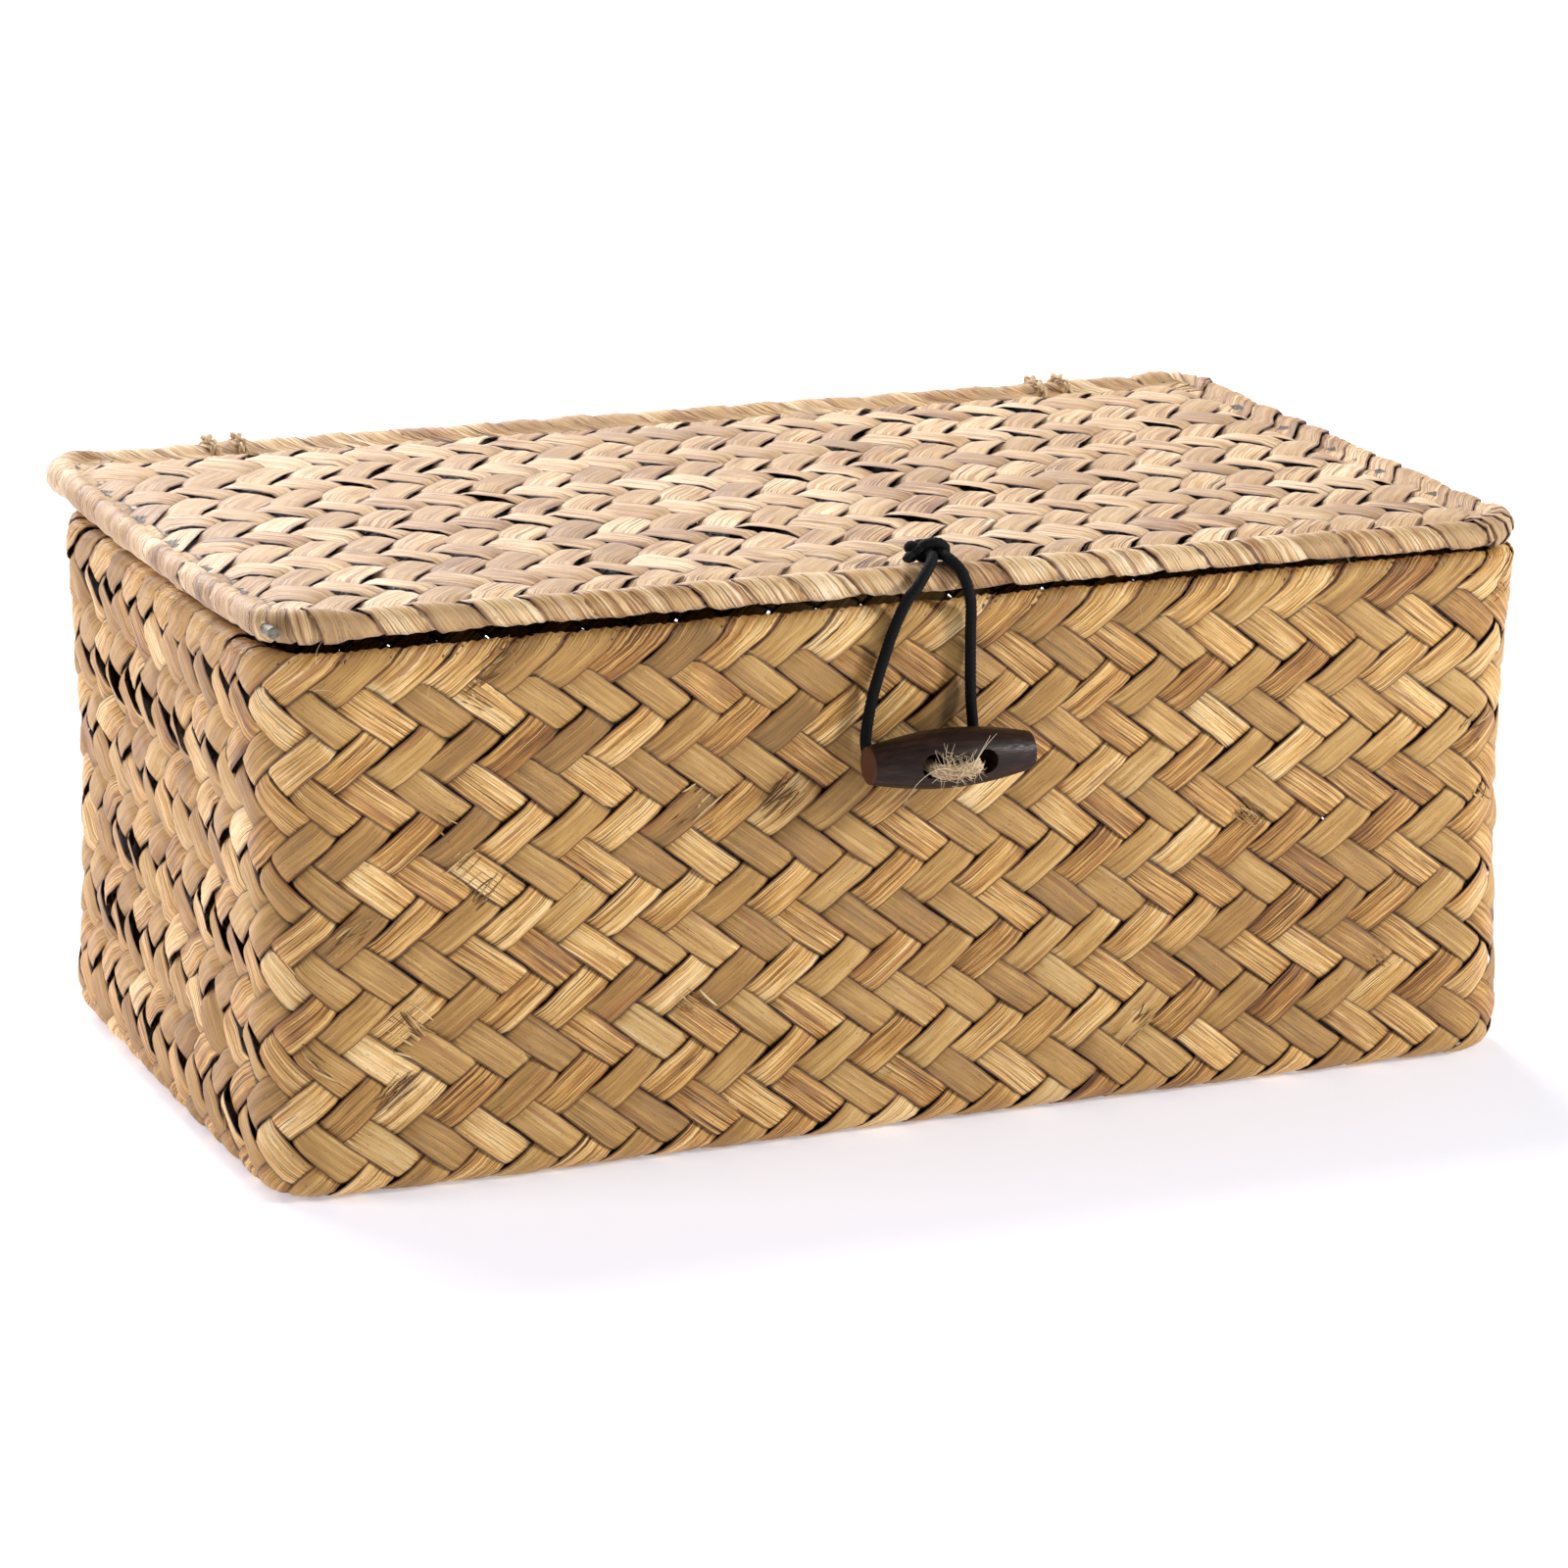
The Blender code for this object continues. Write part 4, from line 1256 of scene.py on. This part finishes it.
def dark_wood_material():
    """Grain runs along the spindle; its end faces are a little redder and lighter."""
    g = Nodes("dark_wood")
    place = g.parts(g.place())
    grain = g.grain(place, (70.0, 900.0, 900.0), 4.0, 0.6)
    pores = g.grain(place, (260.0, 3200.0, 3200.0))
    stops = ((0.28, (0.006, 0.003, 0.002)), (0.52, (0.020, 0.0075, 0.0042)), (0.8, (0.054, 0.020, 0.011)))
    half = TOGGLE_LENGTH / 2
    end = g.range(g.math("ABSOLUTE", place[0]), half - 0.0006, half - 0.0001, 0.0, 0.6)
    return g.shade(
        {
            "Base Color": g.mix(end, g.ramp(grain, stops), (0.13, 0.050, 0.028)),
            "Roughness": g.range(pores, 0.3, 0.7, 0.34, 0.55),
            "Specular IOR Level": 0.22,
            "Normal": g.bump(g.plus(grain, g.times(pores, 0.5)), 0.35, 0.0002),
        }
    )


def floor_material():
    return Nodes("floor").shade(
        {
            "Base Color": (0.86, 0.87, 0.93),
            "Roughness": 0.7,
            "Emission Color": (0.90, 0.91, 1.0),
            "Emission Strength": FLOOR_GLOW,
        }
    )


# ---------------- the studio
def floor():
    mesh = bpy.data.meshes.new("floor")
    corners = [(x * FLOOR_HALF, y * FLOOR_HALF, -0.0002) for x, y in ((-1, -1), (1, -1), (1, 1), (-1, 1))]
    mesh.from_pydata(corners, [], [(0, 1, 2, 3)])
    mesh.materials.append(floor_material())
    linked("floor", mesh)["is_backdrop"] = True


def area_light(name, place, target, size, power, colour=(1, 1, 1)):
    data = bpy.data.lights.new(name, "AREA")
    data.shape = "RECTANGLE"
    data.size, data.size_y = size
    data.energy = power
    data.color = colour
    obj = linked(name, data)
    obj.location = place
    obj.rotation_euler = (Vector(target) - Vector(place)).to_track_quat("-Z", "Y").to_euler()
    obj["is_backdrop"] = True


def world_light(strength):
    world = bpy.data.worlds.new("studio")
    world.use_nodes = True
    background = world.node_tree.nodes["Background"]
    background.inputs["Color"].default_value = (0.97, 0.985, 1.0, 1.0)
    background.inputs["Strength"].default_value = strength
    bpy.context.scene.world = world


def camera():
    """From the front left and a little above, with a long lens."""
    azimuth, elevation, roll = (math.radians(value) for value in (-23.29, 15.35, 0.66))
    level = math.cos(elevation)
    back = Vector((math.sin(azimuth) * level, -math.cos(azimuth) * level, math.sin(elevation)))
    turned = back.to_track_quat("Z", "Y") @ Quaternion((0, 0, 1), roll)
    data = bpy.data.cameras.new("camera")
    data.lens = 122.35
    data.sensor_width = 36.0
    data.clip_start = 0.05
    obj = linked("camera", data)
    place = Vector((0.0009, 0.0, 0.0585)) + back * 1.2347
    obj.matrix_world = Matrix.Translation(place) @ turned.to_matrix().to_4x4()
    bpy.context.scene.camera = obj


def studio():
    floor()
    world_light(0.26)
    centre = (0, 0, 0.06)
    area_light("soft_top", (0.0, 0.65, 1.15), centre, (0.6, 0.5), 12.5, (1.0, 0.97, 0.985))
    area_light("soft_left", (-1.25, 0.10, 0.60), centre, (0.5, 0.5), 6.0, (0.97, 0.91, 1.0))
    area_light("soft_front", (1.65, -1.25, 0.85), centre, (0.45, 0.45), 39.0)
    area_light("soft_behind", (-0.5, 2.1, 0.95), centre, (1.6, 0.6), 30.0, (1.0, 0.95, 0.98))
    area_light("soft_backdrop", (-0.6, 3.2, 1.6), (-0.8, 2.4, 0), (2.6, 1.6), 60.0)
    bpy.context.scene.view_settings.view_transform = "Standard"
    camera()


# ---------------- assembly
def ride(piece, body, node):
    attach(piece, body)
    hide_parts(node)


def weaving():
    body_leaf, lid_straw_painted_paler = wall_leaf(), lid_leaf_painted_paler()
    mat_ways = ("back_right", "front_right")
    walls = grouped("wall_strips", ("rising", "falling"), range(WALL_STRIPS), 5, wall_strip, body_leaf)
    base = grouped("base_strips", mat_ways, MAT_NUMBERS, 10, base_strip, body_leaf)
    for piece in (*walls, *base):
        ride(piece, "body", "woven_body")
    for piece in grouped("lid_strips", mat_ways, MAT_NUMBERS, 5, lid_strip, lid_straw_painted_paler):
        ride(piece, "lid", "woven_lid")
    ride(corner_wraps(lid_straw_painted_paler), "lid", "woven_lid")
    ride(torn_walls(body_leaf), "body", "woven_body")


def fastenings():
    wire, twine, elastic = wire_material(), twine_material(), elastic_material()
    ride(body_wire(wire), "body", "body_rim_wire")
    ride(lid_wire(wire), "lid", "lid_rim_wire")
    ride(loose_fibres(twine), "body", "woven_body")
    for side, sign in (("left", -1), ("right", 1)):
        tie = hinge_tie(side, sign, twine)
        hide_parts("hinge_tie_" + side)
        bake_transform(tie)
    ride(toggle_bar(dark_wood_material()), "toggle", "toggle_bar")
    ride(toggle_lashing(twine), "toggle", "toggle_lashing")
    ride(elastic_loop(elastic), "loop", "elastic_loop")
    ride(elastic_knot(elastic), "lid", "elastic_knot")


def main():
    weaving()
    fastenings()
    studio()
    boxes = [[list(corner) for corner in box] for box in (CAD_BOX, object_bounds())]


main()
